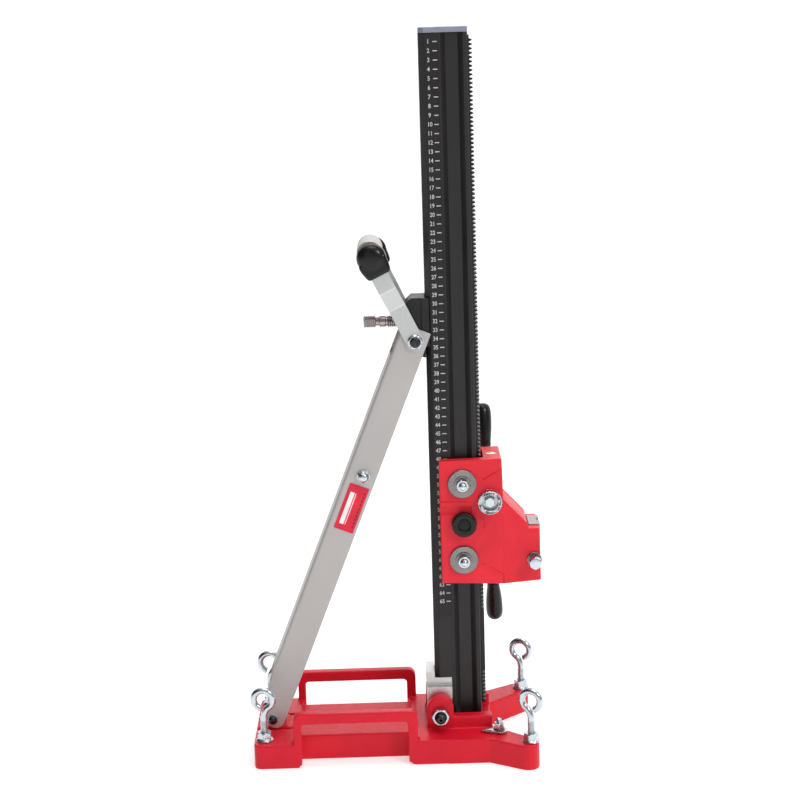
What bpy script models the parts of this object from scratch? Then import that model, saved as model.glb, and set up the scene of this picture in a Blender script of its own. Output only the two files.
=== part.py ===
"""Core drill rig: a tilting column on a cast base, with a rack-fed roller carriage.

Sizes are in millimetres here and become metres in the helpers. +Z is up, Z = 0 is the floor.
+X is the drilling side, Y = 0 is the plane of symmetry, X = 0 is the middle of the column.
"""
import math

import bmesh
import bpy
from mathutils import Matrix, Vector

MM = 0.001
GAP = 0.3                      # between pieces that touch
SHARP = math.radians(35)       # edges sharper than this are not shaded smooth
ROUND = 20                     # sides of a large round piece
MEDIUM = 14
SMALL = 10                     # sides of a bolt or a bolt hole

# Column
COLUMN_HALF_X = 27.0
COLUMN_HALF_Y = 20.0
COLUMN_BOTTOM = 38.0
COLUMN_TOP = 827.0
REAR_BEVEL = 5.6
END_PLATE = 6.0
NOTCH_X = -7.0
NOTCH_TOP = 84.5
CHANNEL_X = 9.5                # middle of the vee channel that the rollers run in
CHANNEL_MOUTH = 12.5           # half widths
CHANNEL_FLOOR = 7.0
CHANNEL_DEPTH = 6.0
RULER_X = (-21.0, -5.0)
RULER_DEPTH = 0.8
CAP_SCREW_X = -5.5
CAP_SCREWS = (("near", -8.0), ("far", 8.0))

# Rack and pinions
MODULE = 1.5
PRESSURE = math.radians(20)
PITCH = math.pi * MODULE
RACK_PITCH_X = 31.0
RACK_HALF_Y = 6.9
RACK_ZERO = 170.0              # middle of one tooth gap
RACK_TOP = 823.5
RACK_FOOT_TEETH = (-26, -18)   # gaps at the ends of the teeth near the rack's foot
RACK_PLAIN = (-18, -1)         # gaps at the ends of a plain stretch that stops the carriage
BACKLASH = 0.35
FAST_TEETH = 20
FAST_PINION = (RACK_PITCH_X + MODULE * FAST_TEETH / 2, 246.0)
SLOW_TEETH = 12
SLOW_SHIFT = 0.3               # profile shift that keeps a small pinion free of undercut
SLOW_PINION = (RACK_PITCH_X + MODULE * (SLOW_TEETH / 2 + SLOW_SHIFT), 299.8)

# Base casting
BASE_TOP = 29.0
BASE_HALF_Y = 76.5
REAR_FOOT_X = (-239.0, -187.0)
BEAM_HALF_Y = 50.0
PLINTH_TOP = 44.0
PLINTH_HALF_Y = 42.0
PLINTH_GAP = 28.0              # half of the space between the ears
HANDLE_X = (-193.0, -49.5)
HANDLE_Y = (64.0, 76.0)
HANDLE_TOP = 65.0
HANDLE_OPENING = (-184.0, -60.5, 52.5)
TILT_AXIS = (-22.4, 47.0)
NECK_TOP = 91.0                # the pivot block reaches this high behind the column
NECK_SCREW_Z = 87.4
NECK_SCREWS = (("near", -10.0), ("far", 10.0))
EAR_RADIUS = 15.5

# Levelling screws: (name, x, y, heading of the eye in degrees, how far it is screwed out)
FEET = (
    ("front_near", 80.0, -87.0, 152.0, 0.0),
    ("front_far", 80.0, 87.0, 157.0, 0.0),
    ("rear_near", -227.0, -58.0, -6.0, 0.0),
    ("rear_far", -226.0, 58.0, -4.0, 4.0),
)
FRONT_FOOT_RADIUS = 12.8
SCREW_RADIUS = 4.2
EYE_WIRE = 3.9
EYE_RADIUS = 11.2
EYE_CENTRE = 78.2
EYE_START = -70.0              # degrees round the ring from its level radius
EYE_SWEEP = 310.0

# Brace
BRACE_FOOT = (-219.2, 40.0)
BRACE_TOP = (-39.5, 486.0)
BRACE_INNER_Y = 20.5
BRACE_OUTER_Y = 23.0
BRACE_FRONT = -13.8            # edges of the channel, from the line through its pivots
BRACE_BACK = 20.6
BRACE_WEB = (60.0, 455.0)
CROSS_BOLT = (313.3, 1.1)      # along and across the brace
LABEL_UP = (245.1, 301.5)
LABEL_ACROSS = (-10.8, 12.6)

# Clamp block and its spindle
BLOCK_Z = (452.6, 534.5)
JAWS_FROM = 479.0
SPINDLE_Z = 506.2
SPINDLE_RADIUS = 6.8

# Lever
LEVER_ANGLE = math.radians(26)
LEVER_HALF_WIDTH = 10.0
GRIP_AT = 111.0                # from the lever's pivot to the grip's axis, along the arms
GRIP_OUT = -2.0
GRIP_HALF_Y = 46.0
GRIP_TUBE_HALF_Y = 31.5
GRIP_TUBE_RADIUS = 15.6
SKIRT = ((109.0, 15.5), (104.0, 16.2), (99.0, 15.9), (88.0, 13.4), (88.0, -14.5), (95.0, -15.9),
         (109.0, -18.0))       # outline of a cap's skirt, along and across the arms

# Carriage
CARRIAGE_HALF_Y = 32.0
CARRIAGE_INNER_Y = 20.6
ROLLERS_Z = (("upper", 321.0), ("lower", 231.0))
NOSE_SLOT = (84.4, 18.6)
LOCK = (10.5, 274.6)
CLAMP_BOLT = (90.5, 229.0)
LEVEL_X = 44.5

# Feed handle
HANDLE_HUB_Y = 84.0
HANDLE_TIP_Y = 118.0
HANDLE_REACH = 137.0
HANDLE_LEAN = 0.039            # sideways per unit of length


def clear_scene():
    for old in list(bpy.data.objects):
        bpy.data.objects.remove(old, do_unlink=True)


def new_collection(name):
    group = bpy.data.collections.new(name)
    bpy.context.scene.collection.children.link(group)
    return group


def principled(name, colour, roughness, metallic):
    made = bpy.data.materials.new(name)
    made.use_nodes = True
    shader = made.node_tree.nodes["Principled BSDF"]
    shader.inputs["Base Color"].default_value = (*colour, 1.0)
    shader.inputs["Roughness"].default_value = roughness
    shader.inputs["Metallic"].default_value = metallic
    return made


clear_scene()
PARTS = new_collection("core_drill_rig")
CUTTERS = new_collection("cutters")
RED = principled("red_paint", (0.58, 0.02, 0.03), 0.4, 0.0)
BLACK = principled("black_anodised", (0.045, 0.042, 0.042), 0.38, 0.6)
ZINC = principled("bright_zinc", (0.62, 0.64, 0.66), 0.3, 1.0)
STEEL = principled("bare_steel", (0.5, 0.49, 0.47), 0.35, 1.0)
DARK = principled("black_oxide", (0.03, 0.03, 0.032), 0.35, 0.8)
ALUMINIUM = principled("blasted_aluminium", (0.68, 0.67, 0.65), 0.5, 0.9)
STRAP = principled("warm_grey_coat", (0.52, 0.5, 0.47), 0.45, 0.3)
PLASTIC = principled("black_plastic", (0.02, 0.02, 0.02), 0.28, 0.0)
LABEL = principled("label_red", (0.62, 0.03, 0.07), 0.35, 0.0)
VIAL = principled("level_green", (0.75, 0.68, 0.25), 0.15, 0.0)


def link(made, material, group=None):
    (group or PARTS).objects.link(made)
    if material:
        made.data.materials.append(material)
    return made


def mesh_object(name, shape, material, centre=(0, 0, 0), turn=None):
    """An object from a bmesh in millimetres, placed by its location and rotation."""
    bmesh.ops.scale(shape, vec=(MM, MM, MM), verts=shape.verts)
    mesh = bpy.data.meshes.new(name)
    shape.to_mesh(mesh)
    shape.free()
    mesh.shade_smooth()
    mesh.set_sharp_from_angle(angle=SHARP)
    made = bpy.data.objects.new(name, mesh)
    made.location = Vector(centre) * MM
    if turn is not None:
        made.rotation_euler = turn.to_euler()
    return link(made, material)


def box(name, low, high, material=None):
    shape = bmesh.new()
    size = [b - a for a, b in zip(low, high)]
    centre = [(a + b) / 2 for a, b in zip(low, high)]
    bmesh.ops.create_cube(shape, size=1.0)
    bmesh.ops.scale(shape, vec=size, verts=shape.verts)
    return mesh_object(name, shape, material, centre)


def rod(name, start, end, radius, material=None, sides=ROUND, end_radius=None, roll=0.0):
    """A cylinder, cone or hexagonal bar from start to end."""
    shape = bmesh.new()
    along = Vector(end) - Vector(start)
    far = radius if end_radius is None else end_radius
    bmesh.ops.create_cone(shape, cap_ends=True, segments=sides, radius1=radius, radius2=far,
                          depth=along.length)
    turn = along.to_track_quat("Z", "Y").to_matrix() @ Matrix.Rotation(roll, 3, "Z")
    return mesh_object(name, shape, material, (Vector(start) + Vector(end)) / 2, turn)


def hexagon(name, start, end, across_flats, material=None, roll=0.0):
    return rod(name, start, end, across_flats / 2 / math.cos(math.pi / 6), material, 6, roll=roll)


PLANES = {
    "XY": Matrix(((1, 0, 0), (0, 1, 0), (0, 0, 1))),
    "XZ": Matrix(((1, 0, 0), (0, 0, -1), (0, 1, 0))),
    "YZ": Matrix(((0, 0, 1), (1, 0, 0), (0, 1, 0))),
}


def slab(name, outlines, plane, low, high, material=None):
    """A flat outline, with any holes, given thickness from low to high across its plane."""
    curve = bpy.data.curves.new(name, "CURVE")
    curve.dimensions = "2D"
    curve.fill_mode = "BOTH"
    curve.extrude = (high - low) / 2
    for points in outlines:
        spline = curve.splines.new("POLY")
        spline.points.add(len(points) - 1)
        for point, (across, up) in zip(spline.points, points):
            point.co = (across, up, 0.0, 1.0)
        spline.use_cyclic_u = True
    middle = (low + high) / 2
    turn = PLANES[plane]
    sign = -1 if plane == "XZ" else 1
    centre = turn @ Vector((0, 0, middle * sign))
    return solid_from_curve(name, curve, material, centre, turn)


def toothed_slab(name, points, low, high, material):
    """A slab in the XZ plane whose outline has too many points for a filled curve."""
    shape = bmesh.new()
    corners = [shape.verts.new((across, low, up)) for across, up in points]
    grown = bmesh.ops.extrude_face_region(shape, geom=[shape.faces.new(corners)], use_keep_orig=True)
    moved = [item for item in grown["geom"] if isinstance(item, bmesh.types.BMVert)]
    bmesh.ops.translate(shape, vec=(0, high - low, 0), verts=moved)
    bmesh.ops.recalc_face_normals(shape, faces=shape.faces)
    return mesh_object(name, shape, material)


def solid_from_curve(name, curve, material, centre, turn):
    """A closed mesh from a curve drawn in millimetres, whose caps are welded to its sides."""
    guide = bpy.data.objects.new(name + "_curve", curve)
    bpy.context.scene.collection.objects.link(guide)
    bpy.context.view_layer.update()
    seen = guide.evaluated_get(bpy.context.evaluated_depsgraph_get())
    mesh = bpy.data.meshes.new_from_object(seen)
    mesh.name = name
    shape = bmesh.new()
    shape.from_mesh(mesh)
    bmesh.ops.remove_doubles(shape, verts=shape.verts, dist=0.01)
    bmesh.ops.recalc_face_normals(shape, faces=shape.faces)
    bmesh.ops.scale(shape, vec=(MM, MM, MM), verts=shape.verts)
    shape.to_mesh(mesh)
    shape.free()
    mesh.shade_smooth()
    mesh.set_sharp_from_angle(angle=SHARP)
    made = bpy.data.objects.new(name, mesh)
    made.location = Vector(centre) * MM
    made.rotation_euler = turn.to_euler()
    bpy.data.objects.remove(guide, do_unlink=True)
    return link(made, material)


def turned(name, profile, base, axis, material=None, sides=ROUND, closed=False):
    """A turned piece. The profile's (radius, height) points run down its outer side."""
    mesh = bpy.data.meshes.new(name)
    points = [(radius * MM, 0.0, height * MM) for radius, height in profile]
    edges = [(i, i + 1) for i in range(len(points) - 1)]
    if closed:
        edges.append((len(points) - 1, 0))
    mesh.from_pydata(points, edges, [])
    made = bpy.data.objects.new(name, mesh)
    made.location = Vector(base) * MM
    made.rotation_euler = Vector(axis).to_track_quat("Z", "Y").to_euler()
    screw = made.modifiers.new("turn", "SCREW")
    screw.axis = "Z"
    screw.steps = sides
    screw.render_steps = sides
    screw.use_merge_vertices = True
    screw.merge_threshold = 0.00001
    return link(made, material)


def tube(name, points, radii):
    """A bent wire through the points, with a radius at each."""
    curve = bpy.data.curves.new(name, "CURVE")
    curve.dimensions = "3D"
    curve.bevel_depth = 1.0
    curve.bevel_resolution = 2
    curve.use_fill_caps = True
    spline = curve.splines.new("POLY")
    spline.points.add(len(points) - 1)
    for point, place, radius in zip(spline.points, points, radii):
        point.co = (*place, 1.0)
        point.radius = radius
    return curve


def combine(target, tool, operation):
    modifier = target.modifiers.new(operation.lower(), "BOOLEAN")
    modifier.operation = operation
    modifier.solver = "EXACT"
    modifier.object = tool
    tool.hide_render = True
    tool.display_type = "WIRE"
    PARTS.objects.unlink(tool)
    CUTTERS.objects.link(tool)


def cut(target, *tools):
    for tool in tools:
        combine(target, tool, "DIFFERENCE")


def join(target, *tools):
    for tool in tools:
        combine(target, tool, "UNION")


def soften(target, width, segments=1):
    """Rounded edges, put on before any cut."""
    modifier = target.modifiers.new("edges", "BEVEL")
    modifier.width = width * MM
    modifier.segments = segments
    modifier.limit_method = "ANGLE"
    modifier.angle_limit = math.radians(40)
    return target


def pivot(name, place, parent=None):
    """An empty on a joint's axis, which the moving pieces hang from."""
    made = bpy.data.objects.new(name, None)
    made.empty_display_size = 0.02
    made["place"] = place
    PARTS.objects.link(made)
    made.location = Vector(place) * MM
    if parent:
        made.parent = parent
        made.matrix_parent_inverse = Matrix.Translation(-Vector(parent["place"]) * MM)
    return made


def hang(parent, *pieces):
    for piece in pieces:
        piece.parent = parent
        piece.matrix_parent_inverse = Matrix.Translation(-Vector(parent["place"]) * MM)


def arc(centre, radius, start, end, steps):
    """Points round a centre, from one angle to another in degrees."""
    angles = [math.radians(start + (end - start) * i / steps) for i in range(steps + 1)]
    return [(centre[0] + radius * math.cos(a), centre[1] + radius * math.sin(a)) for a in angles]


def mirrored(half):
    """A closed outline from its half with negative second coordinate."""
    return half + [(across, -up) for across, up in reversed(half)]


# ---------------------------------------------------------------- joint axes
TILT = pivot("tilt_axis", (TILT_AXIS[0], 0, TILT_AXIS[1]))
SLIDE = pivot("clamp_slide_axis", (BRACE_TOP[0], 0, BRACE_TOP[1]), TILT)
BRACE = pivot("brace_axis", (BRACE_TOP[0], 0, BRACE_TOP[1]), SLIDE)
LEVER = pivot("lever_axis", (BRACE_TOP[0], 0, BRACE_TOP[1]), SLIDE)
SPINDLE = pivot("spindle_axis", (-60, 0, SPINDLE_Z), SLIDE)
FEED = pivot("carriage_axis", (0, 0, 275), TILT)
FAST = pivot("feed_pinion_axis", (FAST_PINION[0], 0, FAST_PINION[1]), FEED)
SLOW = pivot("slow_pinion_axis", (SLOW_PINION[0], 0, SLOW_PINION[1]), FEED)
LOCKING = pivot("lock_axis", (LOCK[0], -CARRIAGE_HALF_Y, LOCK[1]), FEED)
BOLTING = pivot("clamp_bolt_axis", (CLAMP_BOLT[0], -CARRIAGE_HALF_Y, CLAMP_BOLT[1]), FEED)


# ---------------------------------------------------------------- column
def column_outline():
    """The extrusion's outside: bevelled rear corners, vee channels and a groove for the rack."""
    x, y = COLUMN_HALF_X, COLUMN_HALF_Y
    half = [
        (-x, -y + REAR_BEVEL),
        (-x + REAR_BEVEL, -y),
        (RULER_X[0], -y),
        (RULER_X[0], -y + RULER_DEPTH),
        (RULER_X[1], -y + RULER_DEPTH),
        (RULER_X[1], -y),
        (CHANNEL_X - CHANNEL_MOUTH, -y),
        (CHANNEL_X - CHANNEL_FLOOR, -y + CHANNEL_DEPTH),
        (CHANNEL_X + CHANNEL_FLOOR, -y + CHANNEL_DEPTH),
        (CHANNEL_X + CHANNEL_MOUTH, -y),
        (x - 1, -y),
        (x, -y + 1),
        (x, -RACK_HALF_Y - 0.4),
        (21.6, -RACK_HALF_Y - 0.4),
    ]
    return mirrored(half)


def make_column():
    wall = 4.2
    rear = mirrored([
        (-COLUMN_HALF_X + wall, -COLUMN_HALF_Y + REAR_BEVEL + 2),
        (-COLUMN_HALF_X + REAR_BEVEL + 2, -COLUMN_HALF_Y + wall),
        (-9.0, -COLUMN_HALF_Y + wall),
    ])
    front = mirrored([(-2.0, -10.0), (17.4, -10.0)])
    column = slab("column_extrusion", [column_outline(), rear, front], "XY",
                  COLUMN_BOTTOM, COLUMN_TOP, BLACK)
    cut(column, box("column_notch", (-30, -30, 30), (NOTCH_X, 30, NOTCH_TOP)))
    cut(column, rod("index_hole", (LOCK[0], -30, 204), (LOCK[0], -8, 204), 5.6, sides=SMALL))
    for _, y in NECK_SCREWS:
        cut(column, rod("pivot_screw_hole", (-32, y, NECK_SCREW_Z), (-20, y, NECK_SCREW_Z), 2.1,
                        sides=SMALL))
    for _, y in CAP_SCREWS:
        cut(column, rod("cap_screw_hole", (CAP_SCREW_X, y, 806), (CAP_SCREW_X, y, 830), 2.4,
                        sides=SMALL))
    ruler = box("ruler_strip", (RULER_X[0] + GAP, -COLUMN_HALF_Y + 0.05, 160),
                (RULER_X[1] - GAP, -COLUMN_HALF_Y + RULER_DEPTH - GAP, COLUMN_TOP - 1), BLACK)
    hang(TILT, column, ruler)


def make_end_plate():
    x, y = COLUMN_HALF_X, COLUMN_HALF_Y
    half = [(-x, -y + REAR_BEVEL), (-x + REAR_BEVEL, -y), (x - 1, -y), (x, -y + 1)]
    bottom = COLUMN_TOP + GAP
    top = COLUMN_TOP + END_PLATE
    plate = slab("column_end_plate", [mirrored(half)], "XY", bottom, top, ALUMINIUM)
    hang(TILT, plate)
    for name, y in CAP_SCREWS:
        place = (CAP_SCREW_X, y, 0)
        cut(plate, rod("cap_hole", (CAP_SCREW_X, y, bottom - 1), (CAP_SCREW_X, y, top + 1), 2.5,
                       sides=SMALL))
        cut(plate, rod("cap_sink", (CAP_SCREW_X, y, top - 3.4), (CAP_SCREW_X, y, top + 1), 4.2,
                       sides=SMALL))
        screw = turned("end_plate_screw_" + name,
                       [(0, top - 2.2), (1.5, top - 2.2), (1.5, top - 0.4), (3.8, top - 0.4),
                        (3.8, top - 3.1), (2.1, top - 3.1), (2.1, 809), (0, 809)],
                       place, (0, 0, 1), ZINC, SMALL)
        hang(TILT, screw)


def rack_outline():
    """Straight-sided teeth of the rack, seen from the side, from its back to the tooth tips."""
    tip = RACK_PITCH_X + MODULE
    root = RACK_PITCH_X - 1.25 * MODULE
    slope = math.tan(PRESSURE)
    half_pitch_width = PITCH / 4 - BACKLASH / 4
    in_tip = PITCH / 2 - (half_pitch_width - MODULE * slope)
    in_root = PITCH / 2 - (half_pitch_width + 1.25 * MODULE * slope)
    last = int((RACK_TOP - RACK_ZERO) / PITCH)
    gaps = list(range(*RACK_FOOT_TEETH)) + [RACK_PLAIN[0]] + list(range(RACK_PLAIN[1], last + 1))
    foot = RACK_ZERO + PITCH * gaps[0]
    points = [(21.9, RACK_TOP), (21.9, foot), (root, foot)]
    for below, above in zip(gaps, gaps[1:]):
        low, high = RACK_ZERO + PITCH * below, RACK_ZERO + PITCH * above
        points += [(root, low + in_root), (tip, low + in_tip)]
        points += [(tip, high - in_tip), (root, high - in_root)]
    points.append((root, RACK_TOP))
    return points


def make_rack():
    hang(TILT, toothed_slab("feed_rack", rack_outline(), -RACK_HALF_Y, RACK_HALF_Y, STEEL))


def make_pivot_block():
    x, z = TILT_AXIS
    wide = [(-37.0, 75.5)] + arc(TILT_AXIS, 14.6, 180, 360, 14) + [(-7.8, 75.5)]
    block = slab("pivot_block", [wide], "XZ", -27.5, 27.5, ALUMINIUM)
    neck = [(-37, 60), (-7.4, 60), (-7.4, NOTCH_TOP - GAP), (-27.4, NOTCH_TOP - GAP),
            (-27.4, NECK_TOP), (-37, NECK_TOP)]
    join(block, slab("pivot_block_neck", [neck], "XZ", -19.6, 19.6))
    cut(block, rod("pivot_bore", (x, -40, z), (x, 40, z), 6.6))
    hang(TILT, block)
    profile = [(0, -2), (1.3, -2), (1.3, -0.3), (2.6, -0.3), (2.6, -3.7), (1.7, -3.7), (1.7, -17),
               (0, -17)]
    for name, y in NECK_SCREWS:
        cut(block, rod("pivot_screw_bore", (-45, y, NECK_SCREW_Z), (-20, y, NECK_SCREW_Z), 2.1,
                       sides=SMALL))
        cut(block, rod("pivot_screw_sink", (-45, y, NECK_SCREW_Z), (-33, y, NECK_SCREW_Z), 2.9,
                       sides=SMALL))
        screw = turned("pivot_block_screw_" + name, profile, (-37, y, NECK_SCREW_Z), (-1, 0, 0), DARK,
                       SMALL)
        hang(TILT, screw)


# ---------------------------------------------------------------- base
def base_plan():
    """The front block with its splayed legs, seen from above."""
    half = [(-58.5, -68.5)] + arc((-50.5, -BASE_HALF_Y + 8), 8, 180, 270, 4)[1:]
    half += [(33.0, -77.8), (69.5, -101.5)]
    half += arc((76.0, -90.5), FRONT_FOOT_RADIUS, -115, 0, 8)
    half += [(88.4, -84.0), (78.0, -72.5), (44.5, -42.0), (38.0, -37.0)]
    return mirrored(half)


def rear_foot_plan():
    low, high = REAR_FOOT_X
    radius = 9.0
    corner = arc((low + radius, -BASE_HALF_Y + radius), radius, 180, 270, 4)
    return mirrored(corner + [(high, -BASE_HALF_Y)])


def handle_outlines():
    low, high = HANDLE_X
    left, right, bar = HANDLE_OPENING
    outer = arc((low + 9, HANDLE_TOP - 9), 9, 180, 90, 4)
    outer += arc((high - 9, HANDLE_TOP - 9), 9, 90, 0, 4)
    inner = arc((left + 4, bar - 4), 4, 180, 90, 3) + arc((right - 4, bar - 4), 4, 90, 0, 3)
    return outer + [(high, 3), (right, 3)] + list(reversed(inner)) + [(left, 3), (low, 3)]


def make_base():
    base = slab("base_casting", [base_plan()], "XY", 0, BASE_TOP, RED)
    join(base, slab("rear_foot", [rear_foot_plan()], "XY", 0, BASE_TOP - 0.5))
    join(base, box("centre_beam", (-190, -BEAM_HALF_Y, 0), (-55, BEAM_HALF_Y, BASE_TOP + 0.8)))
    plinth = slab("plinth", [mirrored([(-38, -PLINTH_HALF_Y), (38, -PLINTH_HALF_Y)])], "XY",
                  10, PLINTH_TOP)
    join(base, plinth)
    ear = [(TILT_AXIS[0] - EAR_RADIUS, 20)]
    ear += arc((TILT_AXIS[0], 53.2), EAR_RADIUS, 180, 0, 14)
    ear += [(TILT_AXIS[0] + EAR_RADIUS, 20)]
    for side in (-1, 1):
        near, far = sorted((side * PLINTH_GAP, side * (PLINTH_HALF_Y + 0.4)))
        join(base, slab("ear", [ear], "XZ", near, far))
        near, far = sorted((side * HANDLE_Y[0], side * HANDLE_Y[1]))
        join(base, slab("handle", [handle_outlines()], "XZ", near, far))
    join(base, box("brace_saddle", (-226, -19.3, 10), (-202, 19.3, 30.5)))
    cut(base, box("column_well", (-60, -PLINTH_GAP, 31), (45, PLINTH_GAP, 90)))
    x, z = TILT_AXIS
    cut(base, rod("ear_bore", (x, -60, z), (x, 60, z), 6.6))
    slot = arc((-98, 0), 9, -90, 90, 6) + arc((-158, 0), 9, 90, 270, 6)
    cut(base, slab("anchor_slot", [slot], "XY", -5, 60))
    for side in (-1, 1):
        near, far = sorted((side * 19.6, side * 25.0))
        cut(base, box("cheek_pocket", (-245, near, 23), (-196, far, 60)))
    cut(base, box("beam_hollow", (-181, -43, -5), (-168, 43, 21)))
    cut(base, box("beam_hollow", (-88, -43, -5), (-62, 43, 21)))
    for side in (-1, 1):
        near, far = sorted((side * 14, side * 43))
        cut(base, box("beam_hollow", (-168.2, near, -5), (-87.8, far, 21)))
        near, far = sorted((side * 48, side * 70))
        cut(base, box("block_hollow", (-51, near, -5), (30, far, 21)))
    for _, x, y, _, _ in FEET:
        cut(base, rod("screw_bore", (x, y, -5), (x, y, 40), SCREW_RADIUS + 0.35, sides=SMALL))
        cut(base, rod("pad_pocket", (x, y, -5), (x, y, 5.2), 8.2, sides=SMALL))
    stud = (26, 35)
    cut(base, rod("stud_bore", (*stud, 24), (*stud, 60), 4.3, sides=SMALL))
    cut(base, rod("pointer_bore", (44.7, -57, 12), (44.7, -57, 40), 3.3, sides=SMALL))


def make_pivot_bolt():
    x, z = TILT_AXIS
    face = PLINTH_HALF_Y + 0.4
    bolt = turned("pivot_bolt", [(0, 56.5), (1.5, 56.5), (1.5, 60.5), (4.8, 60.5), (6, 59.3),
                                 (6, -face - 4), (0, -face - 4)], (x, 0, z), (0, -1, 0), DARK, MEDIUM)
    head = hexagon("pivot_bolt_head", (x, face + GAP, z), (x, face + 8, z), 18)
    join(bolt, head)
    nut = hexagon("pivot_nut", (x, -face - GAP, z), (x, -face - 10.5, z), 18, ZINC, math.pi / 6)
    soften(nut, 0.6)
    cut(nut, rod("nut_bore", (x, -face + 5, z), (x, -face - 20, z), 6.5, sides=SMALL))


def make_stud():
    x, y = 26, 35
    stud = turned("wall_stud", [(0, 68), (3, 68), (4, 67), (4, 25.5), (0, 25.5)], (x, y, 0),
                  (0, 0, 1), ZINC, SMALL)
    seat = PLINTH_TOP + GAP
    washer = [(0, 46), (8.4, 46), (8.4, seat), (0, seat)]
    join(stud, turned("stud_washer", washer, (x, y, 0), (0, 0, 1), sides=SMALL))
    join(stud, hexagon("stud_nut", (x, y, 45), (x, y, 53), 13))


def make_pointer():
    """A pointer that swings on a screw in the base and shows the centre of the hole."""
    x, y = 44.7, -57.0
    low = BASE_TOP + 1.2
    axis = pivot("pointer_axis", (x, y, low))
    outline = arc((x, y), 9.5, -60, 60, 6) + arc((x - 18.5, y + 1.5), 2.6, 110, 250, 5)
    plate = slab("index_pointer", [outline], "XY", low, low + 2.2, ZINC)
    cut(plate, rod("pointer_hole", (x, y, low - 3), (x, y, low + 5), 3.3, sides=SMALL))
    hang(axis, plate)
    profile = [(0, 46.5), (2, 46.5), (3, 45.5), (3, 41), (5.5, 41), (5.5, 34.4), (6.4, 34.4),
               (6.4, low + 2.5), (2.95, low + 2.5), (2.95, 14), (0, 14)]
    screw = turned("pointer_screw", profile, (x, y, 0), (0, 0, 1), ZINC, SMALL)
    join(screw, hexagon("pointer_nut", (x, y, 34.2), (x, y, 41.2), 10))


def eye_points(lift):
    """Centre line of an eye: up the shank, across to one side and round the nearly closed ring."""
    points = [(0, 0, 5.6), (0, 0, 34), (0, 0, 54 + lift), (0.4, 0, 59 + lift), (2.0, 0, 63 + lift)]
    ring = arc((0, EYE_CENTRE + lift), EYE_RADIUS, EYE_START, EYE_START + EYE_SWEEP, 14)
    return points + [(across, 0, up) for across, up in ring]


def make_levelling_screw(name, x, y, heading, lift):
    """An eye screw with its swivel pad, and the nut that locks it on top of the foot."""
    pad_axis = pivot("pad_axis_" + name, (x, y, 4))
    eye_axis = pivot("eye_axis_" + name, (x, y, 40), pad_axis)
    pad = turned("level_pad_" + name, [(0, 4.6), (3, 4.6), (3, 4.2), (7.4, 3.4), (7.4, 0.8), (0, 0.8)],
                 (x, y, 0), (0, 0, 1), ZINC, MEDIUM)
    hang(pad_axis, pad)
    points = eye_points(lift)
    radii = [SCREW_RADIUS] * 3 + [EYE_WIRE] * (len(points) - 3)
    curve = tube("eye", points, radii)
    turn = Matrix.Rotation(math.radians(heading), 3, "Z")
    eye = solid_from_curve("eye_screw_" + name, curve, ZINC, (x, y, 0), turn)
    hang(eye_axis, eye)
    top = BASE_TOP + GAP if x > 0 else BASE_TOP - 0.5 + GAP
    nut = rod("lock_nut_" + name, (x, y, top), (x, y, top + 2.2), 9.3, ZINC, MEDIUM)
    join(nut, hexagon("nut", (x, y, top + 1), (x, y, top + 10.2), 14, roll=math.radians(heading)))
    cut(nut, rod("nut_bore", (x, y, top - 5), (x, y, top + 20), SCREW_RADIUS + 0.3, sides=SMALL))


# ---------------------------------------------------------------- brace
def brace_frame():
    """Unit vectors up the brace and out of its back, in the XZ plane."""
    along = Vector((BRACE_TOP[0] - BRACE_FOOT[0], BRACE_TOP[1] - BRACE_FOOT[1])).normalized()
    return along, Vector((-along.y, along.x))


def brace_point(up, back):
    along, out = brace_frame()
    place = Vector(BRACE_FOOT) + along * up + out * back
    return (place.x, place.y)


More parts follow.
